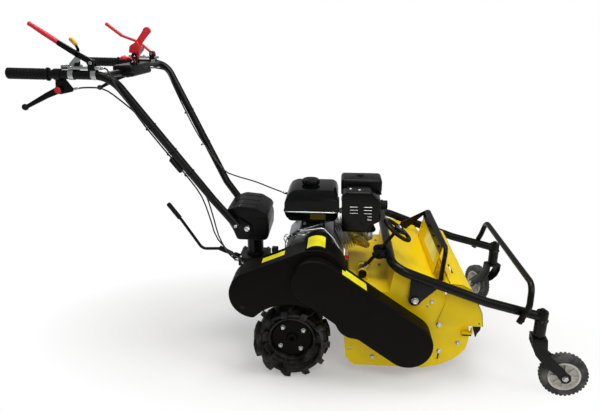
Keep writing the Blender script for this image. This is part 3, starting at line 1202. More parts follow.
def fuel_tank():
    """The stoved steel tank: shell, rolled seam, neck ring, straps with screws, foil and ribbed cap."""
    line = [(-0.038, TANK_SEAM), (-0.0375, 0.612), (-0.022, 0.641), (0.0, 0.6528), (0.137, 0.6528),
            (0.151, 0.64), (0.157, 0.613), (0.157, 0.558), (0.141, 0.5385), (-0.018, 0.5385),
            (-0.034, 0.558)]
    shell = plate("tank_shell", eased(line, 0.006, 1), -0.094, 0.1, 0)
    bpy.ops.object.mode_set(mode="EDIT")
    for height in (TANK_SEAM, TANK_CREASE):
        bpy.ops.mesh.select_all(action="SELECT")
        bpy.ops.mesh.bisect(plane_co=(0, 0, height), plane_no=(0, 0, 1))
    bpy.ops.object.mode_set(mode="OBJECT")
    for vertex in shell.data.vertices:
        if vertex.co.z > TANK_CREASE:
            vertex.co.y -= (vertex.co.z - TANK_CREASE) * (0.75 if vertex.co.y > 0 else -0.75)
        if vertex.co.z < TANK_SEAM - 0.0001:
            vertex.co.y -= (TANK_SEAM - vertex.co.z) * (0.2 if vertex.co.y > 0 else -0.2)
    bpy.ops.object.mode_set(mode="EDIT")
    pick_edges(shell, lambda a, b: abs(a.y - b.y) < 0.05 and min(abs(a.y), abs(b.y)) > 0.06 and (
        abs(a.z - b.z) > 1e-5 or a.z > 0.65 or a.z < 0.54 or abs(a.z - TANK_CREASE) < 1e-4))
    bpy.ops.mesh.bevel(offset=0.0075, segments=4, affect="EDGES", clamp_overlap=True)
    bpy.ops.object.mode_set(mode="OBJECT")
    seam = rounded_frame(-0.0405, 0.1595, -0.0965, 0.1025, 0.021)
    flange = slab("tank_flange", seam, TANK_SEAM - 0.0013, TANK_SEAM + 0.0013, 0.0004)
    lip = [(x, y, TANK_SEAM) for x, y in seam]
    rolled = pipe("tank_seam", lip, 0.0023, 4, caps=False, loop=True)
    ring = [(0.0235, -0.004), (0.0285, -0.004), (0.0285, 0.002), (0.0265, 0.0034), (0.0235, 0.0034)]
    neck = lathe("tank_neck", ring, (0.053, 0, 0.6535), (0, 0, 1), 40, closed=True)
    straps = []
    for y in (-0.06, 0.05):
        straps.append(block("tank_strap", (0.022, y, 0.5025), (0.11, y + 0.018, 0.54), 0.002, 2))
    front = [point for point in lip if point[1] < -0.088]
    edge = pipe("seam_edge", [(x, y - 0.0012, z + 0.0014) for x, y, z in front], 0.0024, 4)
    finish(edge, "chassis", BRIGHT_CAST)
    finish(merge("petrol_tank", [shell, flange, rolled, neck] + straps), "chassis", GLOSS, 40, ["fuel_tank"])
    bolts = []
    for x in (0.034, 0.098):
        bolts += hex_bolt("tank_bolt", (x, -0.06, 0.52), (0, -1, 0), 0.006, 0.0038)
        bolts += hex_bolt("tank_bolt", (x, 0.068, 0.52), (0, 1, 0), 0.006, 0.0038)
    finish(merge("tank_bolts", bolts), "chassis", ZINC, 30)
    label = block("tank_label", (0.056, -0.0936, 0.548), (0.112, -0.0905, 0.569), 0.0002, 1)
    finish(label, "chassis", DIM_FOIL, 30)
    base = Vector((0.053, 0, 0.6576))
    profile = [(0, 0), (0.0312, 0), (0.0318, 0.0008), (0.0318, 0.012), (0.0292, 0.0168), (0.02, 0.0186),
               (0.019, 0.017), (0.012, 0.0172), (0.0112, 0.019), (0, 0.0194)]
    parts = [lathe("cap_body", profile, base, (0, 0, 1), 48)]
    rib = block("cap_rib", (0.029, -0.0034, 0.0008), (0.0338, 0.0034, 0.0128), 0.0014, 2)
    parts += spin_copies(rib, 14, Matrix.Translation(base), "Z")
    finish(merge("ribbed_cap", parts), "cap", ABS, 40, ["fuel_cap"])


def muffler_guard():
    """The pressed guard with its louvres and screws, the muffler behind it and the outlet."""
    line = [(0.174, 0.512), (0.262, 0.512), (0.276, 0.538), (0.308, 0.556), (0.308, 0.628), (0.272, 0.664),
            (0.186, 0.664), (0.17, 0.648), (0.17, 0.516)]
    guard = pressed("louvred_guard", eased(line, 0.004, 2), -0.122, -0.044, 0.011, 0.0019, 5)
    slots, lips = [], []
    for column, rows in ((0.1965, 3), (0.246, 5)):
        for row in range(rows):
            z = 0.611 - row * 0.0118
            start = column if row < 3 else column + 0.014
            slots.append(block("louvre", (start, -0.13, z - 0.0021), (column + 0.031, -0.11, z + 0.0021),
                               0.0016, 2))
            lips.append(rod("louvre_lip", (start + 0.001, -0.1226, z - 0.0021),
                            (column + 0.03, -0.1226, z - 0.0021), 0.0013))
    cut(guard, merge("louvres", slots))
    finish(merge("louvre_lips", lips), "chassis", BRIGHT_CAST)
    pipe_y, pipe_z = -0.082, 0.606
    cut(guard, rod("outlet_hole", (0.295, pipe_y, pipe_z), (0.32, pipe_y, pipe_z), 0.0185, 0.0006, 32))
    finish(guard, "chassis", GLOSS, 35, ["muffler_guard"])
    body = block("muffler_can", (0.184, -0.112, 0.558), (0.29, -0.052, 0.648), 0.014, 5)
    mouth = (0.27, pipe_y, pipe_z)
    wall = [(0.0135, 0.0), (0.0165, 0.0), (0.0168, 0.006), (0.0165, 0.058), (0.016, 0.062), (0.0138, 0.062)]
    outlet = lathe("outlet_pipe", wall, mouth, (1, 0, 0), 36, closed=True)
    collar = lathe("outlet_collar", [(0.0166, 0), (0.019, 0.001), (0.019, 0.006), (0.0166, 0.007)],
                   (0.309, pipe_y, pipe_z), (1, 0, 0), 36, closed=True)
    path = rounded([(0.232, pipe_y, 0.59), (0.24, pipe_y, 0.5275), (0.24, -0.0405, 0.5275)], 0.024, 8)
    port = pipe("port_pipe", path, 0.012, 6)
    spacers = [cross_bar("guard_spacer", (x, 0.628), -0.09, -0.1202, 0.007) for x in (0.212, 0.262)]
    finish(merge("muffler_body", [body, outlet, collar, port] + spacers), "chassis", SCORCHED, 40,
           ["muffler"])
    inner = lathe("outlet_inside", [(0, 0.024), (0.0134, 0.024), (0.0134, 0.025), (0, 0.025)],
                  mouth, (1, 0, 0), 28)
    finish(inner, "chassis", SOOT, 30)
    bright = []
    for x, y in ((0.1994, -0.094), (0.231, -0.103)):
        bright += hex_bolt("guard_screw", (x, y, 0.664), (0, 0, 1), 0.0052, 0.0028)
    bright += hex_bolt("strut_bolt", (0.27, -0.1212, 0.507), (0, -1, 0), 0.007, 0.0042)
    finish(merge("guard_screws", bright), "chassis", ZINC, 30)
    dark = []
    for x, z in ((0.2022, 0.543), (0.2436, 0.546)):
        dark += hex_bolt("guard_low_screw", (x, -0.1218, z), (0, -1, 0), 0.0058, 0.0034)
    strut = band([(0.272, 0.566), (0.27, 0.534), (0.27, 0.5)], 0.015)
    dark.append(plate("guard_strut", strut, -0.1212, -0.1182, 0.001, 2, 20))
    finish(merge("guard_struts", dark), "chassis", TUBE_BLACK, 35)


def air_cleaner():
    """The moulded air cleaner: base tray, lid with a parting line and a pad, side clips and wing nut."""
    parts = [block("cleaner_lid", (0.166, -0.03, 0.628), (0.316, 0.073, 0.684), 0.013, 5),
             block("cleaner_base", (0.172, -0.024, 0.5965), (0.31, 0.067, 0.63), 0.005, 3),
             block("cleaner_lip", (0.1665, -0.0295, 0.6265), (0.3155, 0.0725, 0.6305), 0.0012, 2),
             block("cleaner_pad", (0.196, -0.008, 0.6825), (0.29, 0.05, 0.6852), 0.004, 3)]
    for x in (0.196, 0.268):
        parts.append(block("cleaner_clip", (x, -0.031, 0.616), (x + 0.016, -0.0262, 0.646), 0.0012, 2))
    finish(merge("air_box", parts), "chassis", ABS, 40, ["air_cleaner"])
    knob = [(0, 0), (0.0095, 0), (0.0102, 0.0012), (0.0098, 0.0042), (0.006, 0.0056), (0, 0.0058)]
    nut = [lathe("wing_boss", knob, (0.236, 0.018, 0.6846), (0, 0, 1), 28),
           block("wing", (0.222, 0.0164, 0.6862), (0.25, 0.0196, 0.6899), 0.0012, 2)]
    finish(merge("wing_nut", nut), "chassis", ABS)


def recoil_starter():
    """The fan housing and starter on the far side: stepped pan, air slots, screws, and the rope's handle."""
    centre = Vector((CRANK[0], 0.0903, CRANK[1]))
    profile = [(0, 0), (0.0965, 0), (0.098, 0.0015), (0.098, 0.034), (0.0945, 0.041), (0.086, 0.0448),
               (0.072, 0.046), (0.069, 0.0475), (0.0655, 0.061), (0.062, 0.065), (0.056, 0.0705),
               (0.052, 0.0718), (0.021, 0.0718), (0.019, 0.07), (0, 0.07)]
    pan = lathe("starter_pan", profile, centre, (0, 1, 0), 72)
    slot = block("air_slot", (0.028, 0.064, -0.0028), (0.048, 0.08, 0.0028), 0.002, 2)
    cut(pan, merge("air_slots", spin_copies(slot, 14, Matrix.Translation(centre))))
    grip = block("starter_grip", (-0.032, 0.1085, 0.4645), (0.011, 0.132, 0.4835), 0.006, 4)
    guide = lathe("rope_guide", [(0.0032, 0), (0.0078, 0), (0.0088, 0.002), (0.0078, 0.005),
                                 (0.0032, 0.005)], (0.0135, 0.1203, 0.474), (-1, 0, 0), 28, closed=True)
    finish(merge("starter_housing", [pan, grip, guide]), "chassis", GLOSS, 38, ["recoil_housing"])
    bolts = bolt_ring("starter_screw", centre + Vector((0, 0.044, 0)), 0.0885, 6, 20, 1, 0.0052, 0.003)
    finish(merge("starter_screws", bolts), "chassis", ZINC, 30)


def folded(name, line, wall, low, high, radius, width=0.0006):
    """A folded sheet: a line of (x, z) points with round folds, the wall to the line's right."""
    path = [Vector((p.x, p.z)) for p in rounded([(x, 0, z) for x, z in line], radius, 6)]
    inner = []
    for k, here in enumerate(path):
        along = (path[min(k + 1, len(path) - 1)] - path[max(k - 1, 0)]).normalized()
        inner.append(here + Vector((along.y, -along.x)) * wall)
    return plate(name, [tuple(p) for p in path + inner[::-1]], low, high, width, 1, 40)


# Engine castings

TILT = math.radians(25)
CASE_COVER = [(CRANK, 0.078), ((0.03, 0.35), 0.03), ((0.14, 0.352), 0.03)]


def on_cylinder(pieces):
    """Leans pieces that were modelled along +X at the origin onto the crankcase's seat."""
    start = Vector((CRANK[0] + 0.085 * math.cos(TILT), 0, CRANK[1] + 0.085 * math.sin(TILT)))
    for piece in pieces:
        piece.data.transform(Matrix.Translation(start) @ Matrix.Rotation(-TILT, 4, "Y"))
    return pieces


def crankcase():
    """The cast crankcase: mounting flange, ribbed side cover with bolts, fan rim, filler and sensor plug."""
    aim = Vector((math.cos(TILT), math.sin(TILT)))
    side = Vector((-aim.y, aim.x))
    seat = Vector(CRANK) + aim * 0.0847
    foot, flange_top, cover_face = 0.3063, 0.3163, -0.137
    line = [(-0.03, foot), (0.176, foot), tuple(seat - side * 0.049), tuple(seat + side * 0.049),
            (0.015, 0.502), (-0.03, 0.452)]
    parts = [plate("engine_case", line, -0.125, 0.09, 0.006, 3, 25),
             block("case_flange", (-0.044, -0.078, foot), (0.19, 0.078, flange_top), 0.003, 2),
             plate("case_cover", round_hull(CASE_COVER, 72), cover_face, -0.121, 0.0035, 3, 25)]
    wider = [(centre, radius + 0.005) for centre, radius in CASE_COVER]
    parts.append(plate("cover_flange", round_hull(wider, 72), -0.1288, -0.124, 0.001, 2, 25))
    rib = block("cover_rib", (0.033, -0.1405, -0.0017), (0.07, -0.136, 0.0017), 0.0009, 1)
    parts += spin_copies(rib, 9, Matrix.Translation((CRANK[0], 0, CRANK[1])))
    boss = [(0.0132, 0), (0.031, 0), (0.034, 0.003), (0.034, 0.012), (0.0132, 0.012)]
    parts.append(lathe("shaft_boss", boss, (CRANK[0], -0.145, CRANK[1]), (0, 1, 0), 48, closed=True))
    rim = [(0.029, 0.42), (0.029, 0.484), (0.045, 0.511), (0.105, 0.517), (0.154, 0.475), (0.171, 0.445),
           (0.171, 0.42)]
    parts += [plate("fan_rim", rim, -0.1275, -0.1225, 0.0016, 2, 20),
              rod("filler_neck", (0.16, -0.098, 0.398), (0.1765, -0.1185, 0.402), 0.0105, 0.001, 28)]
    finish(merge("cast_crankcase", parts), "chassis", CAST, 35, ["crankcase"])
    bend = [(0.0236, 0.516), (0.0426, 0.5195), (0.0972, 0.53), (0.1082, 0.527), (0.1417, 0.4915),
            (0.172, 0.435)]
    path = rounded([(x, -0.136, z) for x, z in bend], 0.006, 4)
    finish(pipe("machined_rim", path, 0.0034, 5), "chassis", BRIGHT_CAST, 35, slot="cast_aluminium")
    bolts = []
    inner = [(centre, radius - 0.008) for centre, radius in CASE_COVER]
    for x, z in eased(round_hull(inner, 72), 0.06, 0)[::2]:
        bolts += hex_bolt("case_bolt", (x, cover_face, z), (0, -1, 0), 0.0058, 0.0044, washer=False)
    for x in (-0.034, 0.18):
        for y in (-0.066, 0.066):
            bolts += hex_bolt("engine_bolt", (x, y, flange_top), (0, 0, 1), 0.0068, 0.0052)
    for x, z in ((0.036, 0.476), (0.05, 0.505), (0.104, 0.509), (0.148, 0.47)):
        bolts += hex_bolt("rim_bolt", (x, -0.1275, z), (0, -1, 0), 0.0046, 0.003)
    finish(merge("crankcase_bolts", bolts), "chassis", ZINC, 30)
    cap = [(0, 0), (0.0122, 0), (0.0128, 0.001), (0.0128, 0.007), (0.011, 0.0086), (0.005, 0.009),
           (0.0046, 0.0124), (0, 0.0126)]
    filler = lathe("filler_cap", cap, (0.1765, -0.1185, 0.402), (0.62, -0.77, 0.15), 20)
    finish(filler, "chassis", ACETAL, 30)
    plug = [lathe("sensor_plug", [(0, 0), (0.0062, 0), (0.0066, 0.001), (0.0066, 0.012), (0.005, 0.0136),
                                  (0, 0.0138)], (0.19, -0.112, 0.412), (0.72, -0.66, 0.2), 20),
            rod("sensor_stem", (0.172, -0.098, 0.408), (0.1915, -0.113, 0.4125), 0.004)]
    finish(merge("sensor_plugs", plug), "chassis", RED, 30)


def cylinder():
    """The cylinder: cast fins, head with fins across, valve cover, bolts, plug and the near side's stay."""
    parts = [block("barrel", (0.0, -0.024, -0.033), (0.1, 0.066, 0.033), 0.01, 3)]
    for k in range(9):
        at = 0.0045 + k * 0.0094
        parts.append(block("fin", (at, -0.0398, -0.0488), (at + 0.0027, 0.0818, 0.0488), 0.0012, 2))
    parts.append(block("head", (0.0905, -0.0395, -0.0485), (0.113, 0.0815, 0.0485), 0.004, 3))
    for k in range(7):
        y = -0.0365 + k * 0.0185
        parts.append(block("head_fin", (0.108, y, -0.04), (0.1235, y + 0.0028, 0.04), 0.0011, 1))
    parts += [block("valve_cover", (0.111, -0.022, -0.033), (0.1355, 0.064, 0.033), 0.0095, 4),
              block("valve_rim", (0.112, -0.0265, -0.0372), (0.1166, 0.0685, 0.0372), 0.0016, 2)]
    finish(merge("finned_cylinder", on_cylinder(parts)), "chassis", CAST, 35, ["cylinder_block"])
    bolts = []
    for y in (-0.033, 0.075):
        for z in (-0.042, 0.042):
            bolts += hex_bolt("head_bolt", (0.113, y, z), (1, 0, 0), 0.0062, 0.005)
    bolts += hex_bolt("cover_nut", (0.1355, 0.021, 0.0), (1, 0, 0), 0.0058, 0.0042)
    bolts.append(rod("plug_hex", (0.112, -0.0335, -0.01), (0.123, -0.04, -0.01), 0.0082, 0.0008, 6))
    finish(merge("head_bolts", on_cylinder(bolts)), "chassis", ZINC, 30)
    boot = [rod("plug_boot", (0.122, -0.0395, -0.01), (0.14, -0.05, -0.01), 0.0078, 0.0022, 24),
            rod("plug_elbow", (0.137, -0.048, -0.014), (0.137, -0.048, 0.011), 0.0074, 0.0022, 24)]
    finish(merge("plug_cap", on_cylinder(boot)), "chassis", GRIP)
    upper, lower = (0.207, 0.482), (0.267, 0.433)
    stay = round_hull([(upper, 0.011), ((0.233, 0.456), 0.0215), (lower, 0.01)], 48)
    plates = [plate("stay_plate", stay, -0.053, -0.0498, 0.0008, 2, 20)]
    ring = [(0.0072, 0), (0.015, 0), (0.0158, 0.0012), (0.0158, 0.007), (0.0072, 0.007)]
    plates += [lathe("stay_boss", ring, (0.233, -0.059, 0.456), (0, 1, 0), 36, closed=True),
               folded("stay_lip", [(0.206, 0.4935), (0.25, 0.47), (0.279, 0.44)], 0.003, -0.06, -0.045,
                      0.01)]
    for x, z in (upper, lower):
        plates.append(cross_bar("stay_spacer", (x, z), -0.051, -0.0385, 0.0066))
    finish(merge("cylinder_stay", plates), "chassis", CHROMATE, 35)
    bolts = []
    for x, z in (upper, lower):
        bolts += hex_bolt("stay_bolt", (x, -0.053, z), (0, -1, 0), 0.006, 0.0042)
    finish(merge("stay_bolts", bolts), "chassis", ZINC, 30)


def carburettor():
    """The carburettor: body, flanges, float bowl, screw, choke shaft and lever, and the port's elbow."""
    parts = [block("carb_body", (0.17, -0.002, 0.558), (0.202, 0.042, 0.593), 0.0055, 3),
             block("carb_flange", (0.168, -0.004, 0.5915), (0.204, 0.044, 0.5957), 0.0012, 2)]
    bowl = [(0, 0), (0.01, 0), (0.0138, 0.0024), (0.015, 0.006), (0.015, 0.0215), (0.0166, 0.0218),
            (0.0166, 0.0245), (0, 0.025)]
    parts.append(lathe("float_bowl", bowl, (0.186, 0.02, 0.534), (0, 0, 1), 36))
    path = rounded([(0.196, 0.02, 0.57), (0.2262, 0.02, 0.568), (0.2399, 0.02, 0.5387)], 0.014, 8)
    parts.append(pipe("port_elbow", path, 0.011, 6))
    finish(merge("cast_carburettor", parts), "chassis", CAST, 38, ["carburettor"])
    bright = hex_bolt("bowl_screw", (0.186, 0.02, 0.5342), (0, 0, -1), 0.0045, 0.0034)
    bright.append(cross_bar("throttle_shaft", (0.182, 0.574), -0.02, 0.006, 0.0028))
    lever = round_hull([((0.182, 0.574), 0.0065), ((0.166, 0.562), 0.0048)], 28)
    bright.append(plate("throttle_arm_plate", lever, -0.0188, -0.0172, 0.0005, 1, 20))
    for z in (0.5545, 0.5635):
        bright.append(cross_bar("link_collar", (0.166, z), -0.029, -0.013, 0.0046, 0.0008, 20))
    finish(merge("throttle_linkage", bright), "chassis", ZINC, 35)


def governor():
    """The speed control beside the tank: bracket, wire ring, spring, link to the carburettor, hose clip."""
    y, hub, first = -0.13, (-0.02, 0.487), math.degrees(0.4)
    parts = [folded("control_bracket", [(-0.034, 0.438), (-0.034, 0.47), (-0.014, 0.496), (0.03, 0.499)],
                    0.0022, y + 0.003, y + 0.028, 0.006)]
    ring = [(x, y - 0.002, z) for x, z in arc(hub, 0.0165, 0, 360, 28)[:-1]]
    parts.append(pipe("control_ring", ring, 0.0016, 3, caps=False, loop=True))
    for x, z in arc(hub, 0.0165, first, first + 360, 3)[:-1]:
        parts.append(pipe("control_spoke", [(hub[0], y - 0.002, hub[1]), (x, y - 0.002, z)], 0.0013, 3))
    parts.append(cross_bar("control_hub", hub, y - 0.006, y + 0.006, 0.0048))
    arm = round_hull([(hub, 0.006), ((0.016, 0.516), 0.0048)], 28)
    parts += [plate("governor_arm", arm, y + 0.001, y + 0.0026, 0.0005, 1, 20),
              rod("link_rod", (0.016, y + 0.0018, 0.516), (0.16, -0.03, 0.53), 0.0014)]
    turns = 14
    coil = []
    for k in range(turns * 12 + 1):
        share = k / (turns * 12)
        turn = math.tau * turns * share
        coil.append((0.004 + 0.045 * share, y + 0.004 + 0.0034 * math.cos(turn),
                     0.506 + 0.007 * share + 0.0034 * math.sin(turn)))
    parts.append(pipe("control_spring", coil, 0.0006, 2))
    finish(merge("speed_control", parts), "chassis", ZINC)
    clip = [block("hose_block", (-0.07, -0.226, 0.47), (-0.048, -0.204, 0.488), 0.003, 2),
            pipe("block_foot", [(-0.059, -0.215, 0.47), (-0.059, -0.215, 0.448)], 0.005, 4)]
    finish(merge("hose_clip", clip), "chassis", ABS, 35)


# Gearbox, bed and column

def gearbox():
    """The cast gearbox: webbed case, split flange with bolts, axle housings, boss, pads, shift ear."""
    wheel_at, seat_top, pad_top = (0, WHEEL_RADIUS), 0.3757, 0.368
    shape = [(wheel_at, 0.058), (INPUT, 0.042)]
    case = plate("gear_case", round_hull(shape, 72), -0.052, 0.052, 0.006, 3, 25)
    flange = plate("case_split", round_hull([(c, r + 0.006) for c, r in shape], 72), -0.0045, 0.0045,
                   0.0012, 2, 25)
    ribs = []
    for k in range(3):
        x, z = Vector(INPUT).lerp(Vector(wheel_at), 0.3 + 0.2 * k)
        for side in (NEAR, FAR):
            line = band([(x - 0.04, z - 0.026), (x + 0.04, z + 0.026)], 0.0055)
            ribs.append(plate("case_web", line, side * 0.05, side * 0.056, 0.0018, 2, 25))
    whole = merge("gear_case", [case, flange] + ribs)
    cut(whole, block("bed_space", (-0.085, -0.1, 0.2937), (0.1, 0.1, 0.42), 0))
    cut(whole, block("column_space", (-0.215, -0.1, seat_top), (-0.05, 0.1, 0.42), 0))
    line = [(0, -0.168), (0.0245, -0.168), (0.026, -0.1665), (0.026, -0.084), (0.029, -0.078),
            (0.034, -0.072), (0.034, 0.072), (0.029, 0.078), (0.026, 0.084), (0.026, 0.1665),
            (0.0245, 0.168), (0, 0.168)]
    parts = [whole, lathe("axle_housing", line, (0, 0, WHEEL_RADIUS), (0, 1, 0), 48),
             cross_bar("input_boss", INPUT, -0.196, 0, 0.034, 0.002, 48),
             block("bed_pad", (-0.08, -0.046, 0.22), (0.01, 0.046, 0.293), 0.0035, 2),
             block("column_pad", (-0.222, -0.058, 0.335), (-0.108, 0.058, pad_top), 0.0045, 3),
             rod("column_seat", (COLUMN_X, 0, 0.345), (COLUMN_X, 0, seat_top), 0.035, 0.0015, 44)]
    ear = round_hull([((-0.238, 0.366), 0.01), ((-0.208, 0.352), 0.012)], 36)
    parts.append(plate("shift_ear", ear, -0.0236, -0.018, 0.001, 2, 25))
    for side in (NEAR, FAR):
        ring = [(0.0255, 0), (0.036, 0), (0.0372, 0.0012), (0.0372, 0.009), (0.0255, 0.009)]
        parts.append(lathe("housing_flange", ring, (0, side * 0.053, WHEEL_RADIUS), (0, side, 0), 48,
                           closed=True))
    finish(merge("cast_gearbox", parts), "chassis", BLACK_CAST, 35, ["gearbox_case"])
    bolts = []
    for x, z in eased(round_hull([(c, r + 0.001) for c, r in shape], 72), 0.075, 0):
        if z < 0.285 or (z < 0.33 and x < -0.15):
            bolts += hex_bolt("split_bolt", (x, -0.0045, z), (0, -1, 0), 0.0048, 0.0036)
    for x in (-0.212, -0.118):
        for y in (-0.047, 0.047):
            bolts += hex_bolt("pad_bolt", (x, y, pad_top), (0, 0, 1), 0.0056, 0.0042)
        bolts += hex_bolt("pad_side_bolt", (x + 0.008, -0.058, 0.352), (0, -1, 0), 0.0054, 0.004)
    bolts += hex_bolt("drain_plug", (0.02, 0, WHEEL_RADIUS - 0.06), (0, 0, -1), 0.008, 0.0048)
    finish(merge("gearbox_bolts", bolts), "chassis", ZINC, 30)


def engine_bed():
    """The bed plate with its folded flange, the drive cover's back plate, and the strap between them."""
    parts = [block("bed_plate", (-0.084, -0.1, 0.3), (0.1997, 0.1, 0.306), 0.0012, 2),
             block("bed_flange", (0.194, -0.1, 0.24), (0.1997, 0.1, 0.305), 0.0012, 2)]
    line = with_circle(drive_line(-0.001), (0, WHEEL_RADIUS), 0.1705, False)
    back = plate("cover_back", eased(line, 0.006, 1), -0.1997, -0.1967, 0.0006)
    cut(back, cross_bar("crank_opening", CRANK, -0.21, -0.19, 0.04, 0.0006, 40))
    cut(back, cross_bar("input_opening", INPUT, -0.21, -0.19, 0.0345, 0.0006, 40))
    parts += [back, block("bed_shelf", (0.1, -0.1975, 0.3), (0.18, -0.099, 0.306), 0.0012, 2),
              block("bed_tab", (0.1, -0.1977, 0.3), (0.18, -0.1917, 0.366), 0.0016, 2)]
    finish(merge("engine_bed_plate", parts), "chassis", TUBE_BLACK, 35, ["engine_bed"])
    bolts = []
    for x in (0.118, 0.162):
        bolts += hex_bolt("tab_bolt", (x, -0.1917, 0.345), (0, 1, 0), 0.0062, 0.0044)
    for y in (-0.08, 0.0, 0.08):
        bolts += hex_bolt("flange_bolt", (0.194, y, 0.268), (-1, 0, 0), 0.0068, 0.005)
    for x, y in ((-0.068, -0.034), (-0.068, 0.034), (-0.004, -0.034), (-0.004, 0.034)):
        bolts += hex_bolt("bed_bolt", (x, y, 0.306), (0, 0, 1), 0.0062, 0.0044)
    finish(merge("bed_bolts", bolts), "chassis", ZINC, 30)


def steering_column():
    """The column with its welded rings and the head whose crown carries the handlebar's pin."""
    parts = [rod("column_tube", (COLUMN_X, 0, 0.376), (COLUMN_X, 0, 0.447), 0.031, 0.001, 48)]
    bead = [(0.0305, 0), (0.0335, 0.0006), (0.0342, 0.002), (0.0325, 0.0042), (0.0305, 0.0052)]
    parts.append(lathe("lower_bead", bead, (COLUMN_X, 0, 0.3762), (0, 0, 1), 48, closed=True))
    ring = [(0.03, 0), (0.035, 0.0), (0.0356, 0.001), (0.0356, 0.005), (0.035, 0.006), (0.03, 0.006)]
    parts += [lathe("upper_ring", ring, (COLUMN_X, 0, 0.436), (0, 0, 1), 48, closed=True),
              block("column_head", (-0.196, -0.038, 0.443), (-0.128, 0.038, 0.506), 0.007, 4),
              cross_bar("head_crown", TILT_PIN, -0.038, 0.038, 0.02, 0.0015, 44)]
    finish(merge("handle_column", parts), "chassis", TUBE_BLACK, 38, ["steering_column"])


# Deck, hood and guard

DECK_LINE = [(0.2, 0.117), (0.2, 0.352), (0.338, 0.352), (0.352, 0.438), (0.485, 0.398), (0.528, 0.348)]
HOOD_LINE = [(0.54, 0.394), (0.582, 0.39), (0.611, 0.374), (0.634, 0.333), (0.656, 0.286), (0.664, 0.234)]
NOSE = [(0.47, 0.057), (0.53, 0.0745), (0.58, 0.103), (0.61, 0.138), (0.6195, 0.18), (0.617, 0.226)]


def deck_shell():
    """The folded top of the deck, the height screw's ears, the hood's lugs and the bolts."""
    parts = [folded("deck_sheet", DECK_LINE, 0.003, -0.2597, 0.2597, 0.007)]
    foot = (ANCHOR.x, ANCHOR.z)
    for side in (NEAR, FAR):
        y = ANCHOR.y + side * 0.027
        line = arc(foot, 0.017, -10, 190, 24) + [(ANCHOR.x - 0.022, 0.35), (ANCHOR.x + 0.022, 0.35)]
        ear = plate("screw_ear", line, y - 0.003, y + 0.003, 0.0009, 2, 25)
        parts.append(cut(ear, cross_bar("ear_hole", foot, y - 0.01, y + 0.01, 0.0088, 0, 24)))
    parts.append(block("ear_pad", (ANCHOR.x - 0.03, ANCHOR.y - 0.038, 0.351),
                       (ANCHOR.x + 0.03, ANCHOR.y + 0.038, 0.355), 0.0012, 2))
    for y in HINGE_ROWS:
        line = [(0.4946, 0.3845), (0.5161, 0.3595)] + arc(HINGE, 0.006, -60, 120, 12)
        parts.append(plate("hinge_lug", line, y - 0.003, y + 0.003, 0.0007, 1, 25))
    parts.append(folded("hinge_leaf", [(0.515, 0.3665), (0.524, 0.366), (0.532, 0.385), (0.548, 0.385)],
                        0.0022, -0.2595, 0.2595, 0.004))
    finish(merge("deck_shell", parts), "chassis", YELLOW, 30, ["deck_top"])
    bolts = []
    for y in (-0.215, -0.075, 0.075, 0.215):
        bolts += hex_bolt("shelf_bolt", (0.506, y, 0.3738), (0.76, 0, 0.65), 0.0056, 0.004)
    for y in (-0.05, 0.06, 0.19):
        bolts += hex_bolt("deck_bolt", (0.318, y, 0.352), (0, 0, 1), 0.0062, 0.0044)
    finish(merge("deck_bolts", bolts), "chassis", ZINC, 30)


def nose_curve(count=26):
    """The smooth line of the deck's nose."""
    return [(p.x, p.z) for p in smooth_path([(x, 0, z) for x, z in NOSE], count)]


